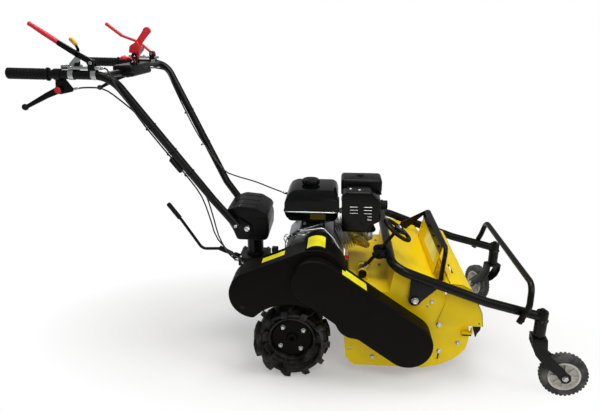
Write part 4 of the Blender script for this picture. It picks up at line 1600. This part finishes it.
def side_plates():
    """The side plates: holes, slots, folded lower lip, hood stop, rotor bearing and their bolts."""
    for side in (NEAR, FAR):
        word = WORD[side]
        line = [(0.188, 0.16), (0.194, 0.089), (0.223, 0.057)] + nose_curve()
        line += [(0.548, 0.3), (0.53, 0.348), (0.485, 0.399), (0.352, 0.439), (0.337, 0.353), (0.199, 0.353)]
        out = side * DECK_FACE
        wall = plate("side_wall", line, side * 0.26, out, 0.0007, 2, 20)
        bites = [cross_bar("sight_hole", (0.47, 0.305), side * 0.25, side * 0.28, 0.0045, 0, 20)]
        for start, end in (((0.5215, 0.118), (0.5195, 0.098)), ((0.204, 0.124), (0.214, 0.124))):
            slot = round_hull([(start, 0.003), (end, 0.003)], 20)
            bites.append(plate("slot_form", slot, side * 0.25, side * 0.28, 0))
        for bite in bites:
            cut(wall, bite)
        parts = [wall]
        lip = nose_curve()[:-3][::-1] + [(0.223, 0.057), (0.208, 0.0725)]
        parts.append(folded("lower_lip", lip, 0.003, side * 0.24, side * 0.2635, 0.002))
        stop = [(0.59, 0.214), (0.622, 0.214), (0.6235, 0.229), (0.6268, 0.229), (0.6268, 0.21), (0.59, 0.21)]
        parts.append(plate("hood_stop", stop, side * 0.263, side * 0.282, 0.0009, 2, 25))
        finish(merge("deck_side_plate_" + word, parts), "chassis", YELLOW, 30, ["deck_side_" + word])
        reach = 0.016 if side == NEAR else 0.02
        ring = [(0.0155, 0), (0.04, 0), (0.042, 0.0014), (0.042, reach * 0.45), (0.033, reach * 0.55),
                (0.03, reach), (0.0155, reach)]
        bearing = lathe("rotor_bearing_" + word, ring, (ROTOR[0], out, ROTOR[1]), (0, side, 0), 48,
                        closed=True)
        finish(bearing, "chassis", BLACK_CAST, 35)
        bolts = []
        for x, z, size in ((0.484, 0.323, 0.0078), (0.515, 0.237, 0.0108), (0.585, 0.165, 0.0082),
                           (0.5225, 0.1285, 0.0082), (0.29, 0.094, 0.0082)):
            bolts += hex_bolt("side_bolt", (x, out, z), (0, side, 0), size, size * 0.62)
        middle = (ROTOR[0], side * (DECK_FACE + reach * 0.45), ROTOR[1])
        bolts += bolt_ring("bearing_bolt", middle, 0.0365, 4, 45, side, 0.0046, 0.0034, washer=False)
        finish(merge("side_bolts_" + word, bolts), "chassis", ZINC, 30)
        pin = [cross_bar("latch_pin", (0.235, 0.32), out, side * 0.2685, 0.0065)]
        inner, outer = sorted((out, side * 0.2815))
        pin.append(block("stop_rubber", (0.592, inner, 0.2035), (0.6235, outer, 0.21), 0.0012, 2))
        finish(merge("stop_rubbers_" + word, pin), "chassis", GRIP, 35)


def front_hood():
    """The hinged hood: folded sheet, cheeks, hem, slit, knuckles and pins, and the clamp strip's bolts."""
    half, wall = 0.2675, 0.003
    shell = folded("hood_sheet", HOOD_LINE, wall, -half, half, 0.016)
    cut(shell, block("hand_slot", (0.559, -0.183, 0.38), (0.5655, -0.105, 0.402), 0.0026, 3))
    for y in HINGE_ROWS:
        cut(shell, block("lug_space", (0.53, y - 0.0036, 0.37), (0.5455, y + 0.0036, 0.41), 0))
    parts = [shell]
    upper = [(p.x, p.z) for p in rounded([(x, 0, z) for x, z in HOOD_LINE], 0.016, 6)]
    cheek = upper + [(0.638, 0.2335), (0.512, 0.2335), (0.506, 0.244), (0.5265, 0.31), (0.5285, 0.352),
                     (0.5345, 0.383)]
    for side in (NEAR, FAR):
        plain = plate("hood_cheek", cheek, side * (half - wall), side * half, 0.0007, 2, 20)
        hole = cross_bar("cheek_hole", (0.649, 0.245), side * 0.26, side * 0.275, 0.0032, 0, 20)
        parts.append(cut(plain, hole))
    parts.append(cross_bar("hood_hem", (0.6618, 0.2362), 0.001 - half, half - 0.001, 0.0024, 0.0006, 16))
    for y in HINGE_ROWS:
        line = round_hull([(HINGE, 0.0058), ((0.556, 0.3895), 0.0012)], 24)
        parts += [plate("knuckle", line, y - 0.012, y - 0.0036, 0.0006, 1, 25),
                  plate("knuckle", line, y + 0.0036, y + 0.012, 0.0006, 1, 25)]
    finish(merge("folded_hood", parts), "hood_flap", YELLOW, 30, ["hood"])
    pins = [cross_bar("hinge_pin", HINGE, y - 0.0145, y + 0.0145, 0.0028) for y in HINGE_ROWS]
    for k in range(7):
        pins += hex_bolt("strip_bolt", (0.6608, -0.216 + 0.072 * k, 0.252), (0.985, 0, 0.17), 0.005, 0.0036)
    finish(merge("hood_pins", pins), "hood_flap", ZINC, 30)


def curtain():
    """The rubber curtain: one sheet cut into points, each a little curled, under its clamp strip."""
    half, count = 0.256, 12
    pitch = 2 * half / count
    line = [(-half, 0.233)]
    for k in range(count):
        left = -half + pitch * k
        line += [(left + 0.0006, 0.214), (left + pitch * 0.5, 0.1862), (left + pitch - 0.0006, 0.214),
                 (left + pitch, 0.22)]
    line += [(half, 0.233)]
    points = [(0.6555, y, z) for y, z in line]
    made = prism("pointed_curtain", points, (0.004, 0, 0), 0.0007, 2)
    for vertex in made.data.vertices:
        drop = max(0.0, 0.22 - vertex.co.z)
        vertex.co.x += drop * 0.06 * math.sin(vertex.co.y * 61.0)
    strip = plate("clamp_strip", [(0.652, 0.261), (0.656, 0.261), (0.66, 0.235), (0.6588, 0.2302),
                                  (0.656, 0.2302)], -0.2545, 0.2545, 0.0006, 1, 25)
    corners = []
    for side in (NEAR, FAR):
        line = [(0.626, 0.26), (0.654, 0.26), (0.655, 0.23), (0.646, 0.19), (0.6425, 0.187), (0.629, 0.23)]
        corners.append(plate("corner_point", line, side * 0.2568, side * 0.2598, 0.0007, 2, 25))
    finish(merge("rubber_curtain", [made, strip] + corners), "hood_flap", GRIP, 30, ["hood_curtain"])


def upright_guard():
    """The upright panel with its plain foil, and the tube hoop with its top strip, brace and screws."""
    low, top = Vector((0.491, 0.3822)), Vector((0.517, 0.492))
    line = [(0.497, 0.387), (low.x + 0.0012, low.y + 0.006), tuple(top)]
    panel = folded("guard_sheet", line, 0.003, -0.188, 0.188, 0.002)
    under = [(0.47, 0.4032), (0.4853, 0.3986), (0.5283, 0.3486), (0.47, 0.34)]
    cut(panel, plate("deck_space", under, -0.25, 0.25, 0))
    finish(panel, "chassis", YELLOW, 30, ["guard_panel"])
    rise = (top - low).normalized()
    out = Vector((-rise.y, rise.x)) * 0.0006
    strip = [tuple(low + rise * reach + out) for reach in (0.034, 0.06, 0.082)]
    foil("guard_label", strip, -0.15, 0.06, PALE_FOIL)
    corners = [(0.518, -0.198, 0.35), (0.529, -0.198, 0.492), (0.529, 0.198, 0.492), (0.518, 0.198, 0.35)]
    hoop = [pipe("guard_tube", rounded(corners, 0.022, 10), 0.008, 6)]
    edge = [tuple(low + rise * reach + out * 4) for reach in (0.086, 0.1145)] + [(0.529, 0.4985)]
    hoop.append(folded("top_strip", edge, 0.0022, -0.19, 0.19, 0.004))
    brace = [(0.525, 0.496), (0.519, 0.48), (0.436, 0.4047), (0.412, 0.412), (0.42, 0.438)]
    hoop.append(plate("guard_brace", brace, 0.191, 0.199, 0.0014, 2, 25))
    whole = merge("guard_tube", hoop)
    under = [(0.352, 0.4383), (0.485, 0.3983), (0.528, 0.3483), (0.352, 0.3)]
    cut(whole, plate("deck_below", under, -0.26, 0.26, 0))
    finish(whole, "chassis", TUBE_BLACK, 38, ["guard_hoop"])
    bolts = []
    for y in (-0.15, -0.05, 0.05, 0.15):
        at = low + rise * 0.1 + out * 4.2
        bolts += hex_bolt("strip_screw", (at.x, y, at.y), (-rise.y, 0, rise.x), 0.0044, 0.0028)
    finish(merge("strip_screws", bolts), "chassis", TUBE_BLACK, 30)


# Rotor, pulleys and idlers

def flail_rotor():
    """The rotor: tube and shaft, with lugs, pins and paired hammer knives."""
    half = 0.248
    parts = [cross_bar("rotor_tube", ROTOR, -half, half, 0.04, 0.0015, 48),
             cross_bar("rotor_shaft", ROTOR, -0.308, 0.276, 0.0149, 0.001, 32)]
    blade = [(0.006, 0.036), (0.006, 0.064), (0.0185, 0.12), (0.015, 0.121), (0.0, 0.072)]
    blade += [(-x, z) for x, z in blade[-2::-1]]
    form = prism("knife_form", [(-0.0115, y, z) for y, z in blade], (0.023, 0, 0), 0.001, 2)
    lug = block("knife_lug", (-0.0105, -0.0085, 0.036), (0.0105, 0.0085, 0.056), 0.003, 2)
    pin = cross_bar("knife_pin", (0, 0.0495), -0.0125, 0.0125, 0.0042, 0.0008, 16)
    station_form = merge("knife_station", [form, lug, pin])
    for row in range(4):
        for station in range(4):
            turn = math.tau * row / 4 + math.radians(15 * station)
            y = -half + 0.022 + (2 * half - 0.04) / 3.5 * (station + 0.5 * (row % 2))
            place = Matrix.Translation((ROTOR[0], y, ROTOR[1])) @ Matrix.Rotation(turn, 4, "Y")
            parts.append(copy_of(station_form, "knife", place))
    bpy.data.objects.remove(station_form)
    finish(merge("knife_rotor", parts), "rotor", STEEL, 35, ["flail_rotor"])


def pulley(radius, y, centre):
    """A V-belt pulley: rim, groove, web and hub."""
    half, floor = 0.0125, radius - 0.009
    profile = [(0.01, -half - 0.004), (0.02, -half - 0.004), (0.021, -0.004), (floor - 0.007, -0.004),
               (floor - 0.005, -half), (radius + 0.0014, -half), (radius + 0.002, -half + 0.0008),
               (radius + 0.002, -0.0091), (floor, -0.0061), (floor, 0.0061), (radius + 0.002, 0.0091),
               (radius + 0.002, half - 0.0008), (radius + 0.0014, half), (floor - 0.005, half),
               (floor - 0.007, 0.004), (0.021, 0.004), (0.02, half), (0.01, half)]
    return lathe("pulley", profile, (centre[0], y, centre[1]), (0, 1, 0), 48, closed=True)


def belt_drives():
    """The pulleys on their shafts, and the V-belts with bevelled edges."""
    parts = [cross_bar("crank_end", CRANK, -0.125, -0.3335, 0.0125, 0.001, 32),
             pulley(CRANK_PULLEY, DRIVE_BELT_Y, CRANK), pulley(DRUM_PULLEY, DRUM_BELT_Y - 0.0004, CRANK)]
    parts += hex_bolt("crank_bolt", (CRANK[0], -0.333, CRANK[1]), (0, -1, 0), 0.006, 0.003, washer=False)
    finish(merge("crank_pulleys", parts), "crank", STEEL, 35, ["crankshaft"])
    parts = [cross_bar("input_end", INPUT, -0.155, -0.266, 0.01, 0.001, 28),
             pulley(INPUT_PULLEY, DRIVE_BELT_Y, INPUT)]
    finish(merge("gearbox_pulley", parts), "gearbox_input", STEEL, 35, ["input_pulley"])
    parts = [pulley(DRUM_PULLEY, DRUM_BELT_Y - 0.0004, ROTOR)]
    ring = [(0.0156, 0), (0.025, 0), (0.026, 0.001), (0.026, 0.037), (0.0156, 0.037)]
    parts.append(lathe("pulley_hub", ring, (ROTOR[0], -0.3195, ROTOR[1]), (0, 1, 0), 36, closed=True))
    finish(merge("rotor_belt_pulley", parts), "rotor", STEEL, 35, ["rotor_pulley"])
    runs = (("drive_belt", DRIVE_BELT_Y, INPUT, INPUT_PULLEY, CRANK, CRANK_PULLEY),
            ("drum_belt", DRUM_BELT_Y, CRANK, DRUM_PULLEY, ROTOR, DRUM_PULLEY))
    for name, y, first, r_first, second, r_second in runs:
        outer = round_hull([(first, r_first + 0.0008), (second, r_second + 0.0008)], 72)
        inner = round_hull([(first, r_first - 0.008), (second, r_second - 0.008)], 72)
        loop = plate(name + "_fine", outer, y - 0.0056, y + 0.0056, 0.0012, 2, 40)
        cut(loop, plate("belt_inside", inner, y - 0.02, y + 0.02, 0))
        finish(loop, "chassis", BELT, 35, [name])


def idlers():
    """The two idlers: a turned roller on its bolt, a flat arm, and the pivot post with its bolt."""
    runs = (("drive_idler", "drive_tensioner", DRIVE_BELT_Y, INPUT, INPUT_PULLEY, CRANK, CRANK_PULLEY,
             1, 0.4, 0.045, -0.197),
            ("drum_idler", "drum_tensioner", DRUM_BELT_Y, CRANK, DRUM_PULLEY, ROTOR, DRUM_PULLEY,
             -1, 0.42, 0.06, -0.2643))
    for name, body, y, first, r_first, second, r_second, side, share, arm, post_start in runs:
        start, end = Vector(first), Vector(second)
        gap = end - start
        angle = math.atan2(gap.y, gap.x) + side * (math.pi / 2 - math.asin((r_first - r_second) / gap.length))
        normal = Vector((math.cos(angle), math.sin(angle)))
        low, high = start + normal * r_first, end + normal * r_second
        middle = low + (high - low) * share + normal * 0.021
        post = middle + (high - low).normalized() * arm - normal * 0.05
        roller = [(0.0045, -0.01), (0.014, -0.01), (0.0152, -0.009), (0.0152, 0.0075), (0.014, 0.008),
                  (0.0045, 0.008)]
        parts = [lathe("roller", roller, (middle.x, y, middle.y), (0, 1, 0), 40, closed=True),
                 cross_bar("roller_bolt", (middle.x, middle.y), y - 0.0095, y + 0.012, 0.0044)]
        bar = round_hull([(tuple(middle), 0.012), (tuple(post), 0.013)], 40)
        parts += [plate("idler_arm", bar, y + 0.0082, y + 0.0128, 0.0009, 2, 25),
                  cross_bar("idler_post", (post.x, post.y), y + 0.01, post_start, 0.008, 0.001, 28)]
        parts += hex_bolt("idler_bolt", (post.x, y + 0.0084, post.y), (0, -1, 0), 0.006, 0.004)
        finish(merge(name + "_fine", parts), body, ZINC, 35, [name])


# Cables

CABLE_RADIUS = 0.0026


def tube_frame(side, z):
    """The handle tube's middle at a height, with its direction down the tube, to the rear and across."""
    knee = Vector((KNEE[0], side * KNEE[1], KNEE[2]))
    bend = Vector((BEND_X, side * HANDLE_SPREAD, BEND_Z))
    aim = (knee - bend).normalized()
    back = Vector((-1, 0, 0))
    back = (back - aim * back.dot(aim)).normalized()
    middle = bend + (knee - bend) * ((BEND_Z - z) / (BEND_Z - KNEE[2]))
    return middle, aim, back, aim.cross(back)


def round_tube(side, z, turn, reach):
    """A point beside the handle tube at a height, turned from its rear face round the tube, in degrees."""
    middle, _, back, across = tube_frame(side, z)
    angle = math.radians(turn)
    return middle + (back * math.cos(angle) + across * math.sin(angle)) * reach


def beside_tube(side, z, turn):
    """Where a cable lies along the handle tube at a height."""
    return round_tube(side, z, turn, HANDLE_TUBE + CABLE_RADIUS + 0.0018)


def cable(name, route, count):
    """A control cable that bends with the handlebar's tilt, with a ferrule and boot at each end."""
    points = smooth_path(route, count)
    made = pipe(name + "_jacket", points, CABLE_RADIUS, 4)
    made = finish(made, None, JACKET, 50, [name])
    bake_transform(made)
    for end, inner, body in ((points[0], points[1], "handle"), (points[-1], points[-2], "chassis")):
        aim = (inner - end).normalized()
        ferrule = [(0.0027, 0), (0.004, 0), (0.0044, 0.001), (0.0044, 0.009), (0.0036, 0.0102),
                   (0.0036, 0.015), (0.0027, 0.016)]
        finish(lathe(name + "_ferrule", ferrule, end, aim, 24, closed=True), body, ZINC, 35)


def cables():
    """The throttle, drive clutch and steering cables, by the part's routes, with their ties and joint box."""
    route = [(-0.531, 0.02, 1.072), (-0.518, 0.02, 1.072), (-0.504, 0.03, 1.069), (-0.488, 0.08, 1.055),
             (-0.505, 0.19, 1.0)]
    route += [beside_tube(FAR, z, turn) for z, turn in ((0.93, 15), (0.86, 0), (0.8, -35), (0.74, -75))]
    route += [(-0.3, 0.106, 0.676), (-0.25, 0.092, 0.655), (-0.17, 0.08, 0.636), (-0.1, 0.06, 0.616),
              (-0.0468, 0.05, 0.6)]
    cable("throttle_cable", route, 34)
    stop = rod("cable_stop", (-0.05, 0.05, 0.6004), (-0.033, 0.05, 0.5988), 0.0044, 0.0008, 24)
    finish(stop, "chassis", TUBE_BLACK, 30)
    route = [(-0.5835, -HANDLE_SPREAD + 0.0005, 1.0905), (-0.562, -HANDLE_SPREAD - 0.004, 1.0915),
             (-0.545, -HANDLE_SPREAD - 0.0205, 1.078), (-0.531, -HANDLE_SPREAD - 0.0215, 1.045)]
    turns = ((1.0, -90), (0.93, -60), (0.86, -35), (0.79, -28), (0.72, -28))
    route += [beside_tube(NEAR, z, turn) for z, turn in turns]
    route += [(-0.328, -0.136, 0.64), (-0.306, -0.126, 0.56), (-0.286, -0.122, 0.48),
              (-0.24, -0.124, 0.424), (-0.196, -0.14, 0.4), (-0.172, -0.168, 0.39), (-0.168, -0.196, 0.388)]
    cable("drive_clutch_cable", route, 36)
    x, z = PERCH
    y = -HANDLE_SPREAD + 0.01
    route = [(x + 0.0445, y, z + 0.002), (-0.64, y + 0.002, z + 0.006), (-0.59, y + 0.008, z + 0.002),
             (-0.548, y + 0.014, 1.0)]
    route += [beside_tube(NEAR, z, 28) for z in (0.93, 0.85, 0.77, 0.7)]
    route += [(-0.322, -0.106, 0.64), (-0.304, -0.092, 0.56), (-0.288, -0.08, 0.47),
              (-0.262, -0.072, 0.405), (-0.243, -0.06, 0.372), (-0.232, -0.0515, 0.358),
              (-0.2227, -0.05, 0.356)]
    cable("steering_cable", route, 36)
    ties = []
    for side, heights in ((NEAR, (0.905, 0.815, 0.735)), (FAR, (0.89, 0.77))):
        for z in heights:
            ring = []
            for k in range(32):
                turn = 360 * k / 32
                reach = 0.015 + 0.0078 * max(0.0, math.cos(math.radians(turn))) ** 0.8
                ring.append(round_tube(side, z, turn - 5, reach))
            ties.append(pipe("cable_tie", ring, 0.0013, 3, caps=False, loop=True))
            head, half = round_tube(side, z, -5, 0.0225), Vector((0.0028, 0.0028, 0.0028))
            ties.append(block("tie_head", head - half, head + half, 0.0008, 1))
    finish(merge("cable_ties", ties), "handle", ABS)
    middle, aim, back, across = tube_frame(NEAR, 0.775)
    form = block("cable_joiner", (0.014, -0.012, -0.03), (0.031, 0.012, 0.03), 0.004, 3)
    lid = block("joiner_lid", (0.022, -0.0128, -0.0308), (0.024, 0.0128, 0.0308), 0.0008, 1)
    joined = merge("cable_joiner", [form, lid])
    turn = Matrix((back, across, aim)).transposed().to_4x4()
    joined.data.transform(Matrix.Translation(middle) @ turn)
    finish(joined, "handle", ABS, 35)


# Room, light and camera

def room():
    """A pale floor, a white world for the camera, soft lamps and the photograph's viewpoint."""
    scene = bpy.context.scene
    clear_selection()
    bpy.ops.mesh.primitive_plane_add(size=24, location=(0, 0, 0))
    floor = bpy.context.object
    floor.name = "studio_floor"
    made = bpy.data.materials.new("matt_white_floor_paint")
    made.use_nodes = True
    tree = made.node_tree
    shader = tree.nodes["Principled BSDF"]
    shader.inputs["Base Color"].default_value = hue("f6f6f6")
    shader.inputs["Roughness"].default_value = 0.9
    # The floor keeps the shadow under the machine and turns to plain white paper further out
    place = add(tree, "ShaderNodeTexCoord").outputs["Object"]
    spread = add(tree, "ShaderNodeMapping", {"Scale": (0.62, 1.25, 1.0), "Location": (0, 0, 0)},
                 {"Vector": place})
    reach = add(tree, "ShaderNodeTexGradient", {"gradient_type": "SPHERICAL"},
                {"Vector": spread.outputs["Vector"]})
    near = ramp(tree, reach.outputs["Fac"], [(0.26, grey(1)), (0.6, grey(0.3))])
    rays = add(tree, "ShaderNodeLightPath")
    share = add(tree, "ShaderNodeMath", {"operation": "MULTIPLY"},
                {0: rays.outputs["Is Camera Ray"], 1: near})
    white = add(tree, "ShaderNodeEmission", {"Color": (1, 1, 1, 1), "Strength": 1.0})
    both = add(tree, "ShaderNodeMixShader", None, {0: share.outputs["Value"], 1: shader.outputs["BSDF"],
                                                   2: white.outputs["Emission"]})
    tree.links.new(both.outputs["Shader"], tree.nodes["Material Output"].inputs["Surface"])
    floor.data.materials.append(made)
    world = bpy.data.worlds.new("studio_air")
    scene.world = world
    world.use_nodes = True
    tree = world.node_tree
    back = tree.nodes["Background"]
    rays = add(tree, "ShaderNodeLightPath")
    level = add(tree, "ShaderNodeMapRange", {"To Min": 0.29, "To Max": 1.0},
                {"Value": rays.outputs["Is Camera Ray"]})
    back.inputs["Color"].default_value = (1, 1, 1, 1)
    tree.links.new(level.outputs["Result"], back.inputs["Strength"])
    lamps = (
        ("key_softbox", (0.9, -2.7, 2.9), (0.1, 0, 0.4), 1.6, 0.9, 28),
        ("top_softbox", (0.2, -0.2, 3.2), (0.1, 0, 0.4), 2.0, 1.2, 50),
        ("right_softbox", (3.0, -1.2, 1.6), (0.3, 0, 0.4), 1.0, 2.0, 26),
        ("rear_strip", (-1.8, 2.4, 2.6), (0.1, 0, 0.5), 2.0, 0.5, 16),
    )
    for name, at, aim, wide, tall, power in lamps:
        data = bpy.data.lights.new(name, "AREA")
        data.shape, data.size, data.size_y, data.energy = "RECTANGLE", wide, tall, power
        data.color = (1.0, 0.93, 0.82) if name == "key_softbox" else (1.0, 1.0, 1.0)
        lamp = bpy.data.objects.new(name, data)
        lamp.location = at
        lamp.rotation_euler = (Vector(aim) - Vector(at)).to_track_quat("-Z", "Y").to_euler()
        scene.collection.objects.link(lamp)
    data = bpy.data.cameras.new("photo_view")
    camera = bpy.data.objects.new("photo_view", data)
    # The pinhole that was fitted to the photograph: 530 pixels of focal length in a width of 600
    data.sensor_width, data.lens = 36.0, 36.0 * 530 / 600
    data.clip_start, data.clip_end = 0.05, 60
    camera.location = Vector((0.148, -1.899, 1.22)) + MOVE
    camera.rotation_euler = (math.radians(90 - 18.9), 0, math.radians(4.08))
    scene.collection.objects.link(camera)
    scene.camera = camera
    scene.view_settings.view_transform = "Standard"


dress_nodes()
drive_wheels()
casters()
front_frame()
height_screw()
handlebar()
grips()
base_cover()
red_levers()
side_levers()
gear_handle()
belt_covers()
fuel_tank()
muffler_guard()
air_cleaner()
recoil_starter()
crankcase()
cylinder()
carburettor()
governor()
gearbox()
engine_bed()
steering_column()
deck_shell()
side_plates()
front_hood()
curtain()
upright_guard()
flail_rotor()
belt_drives()
idlers()
cables()
room()
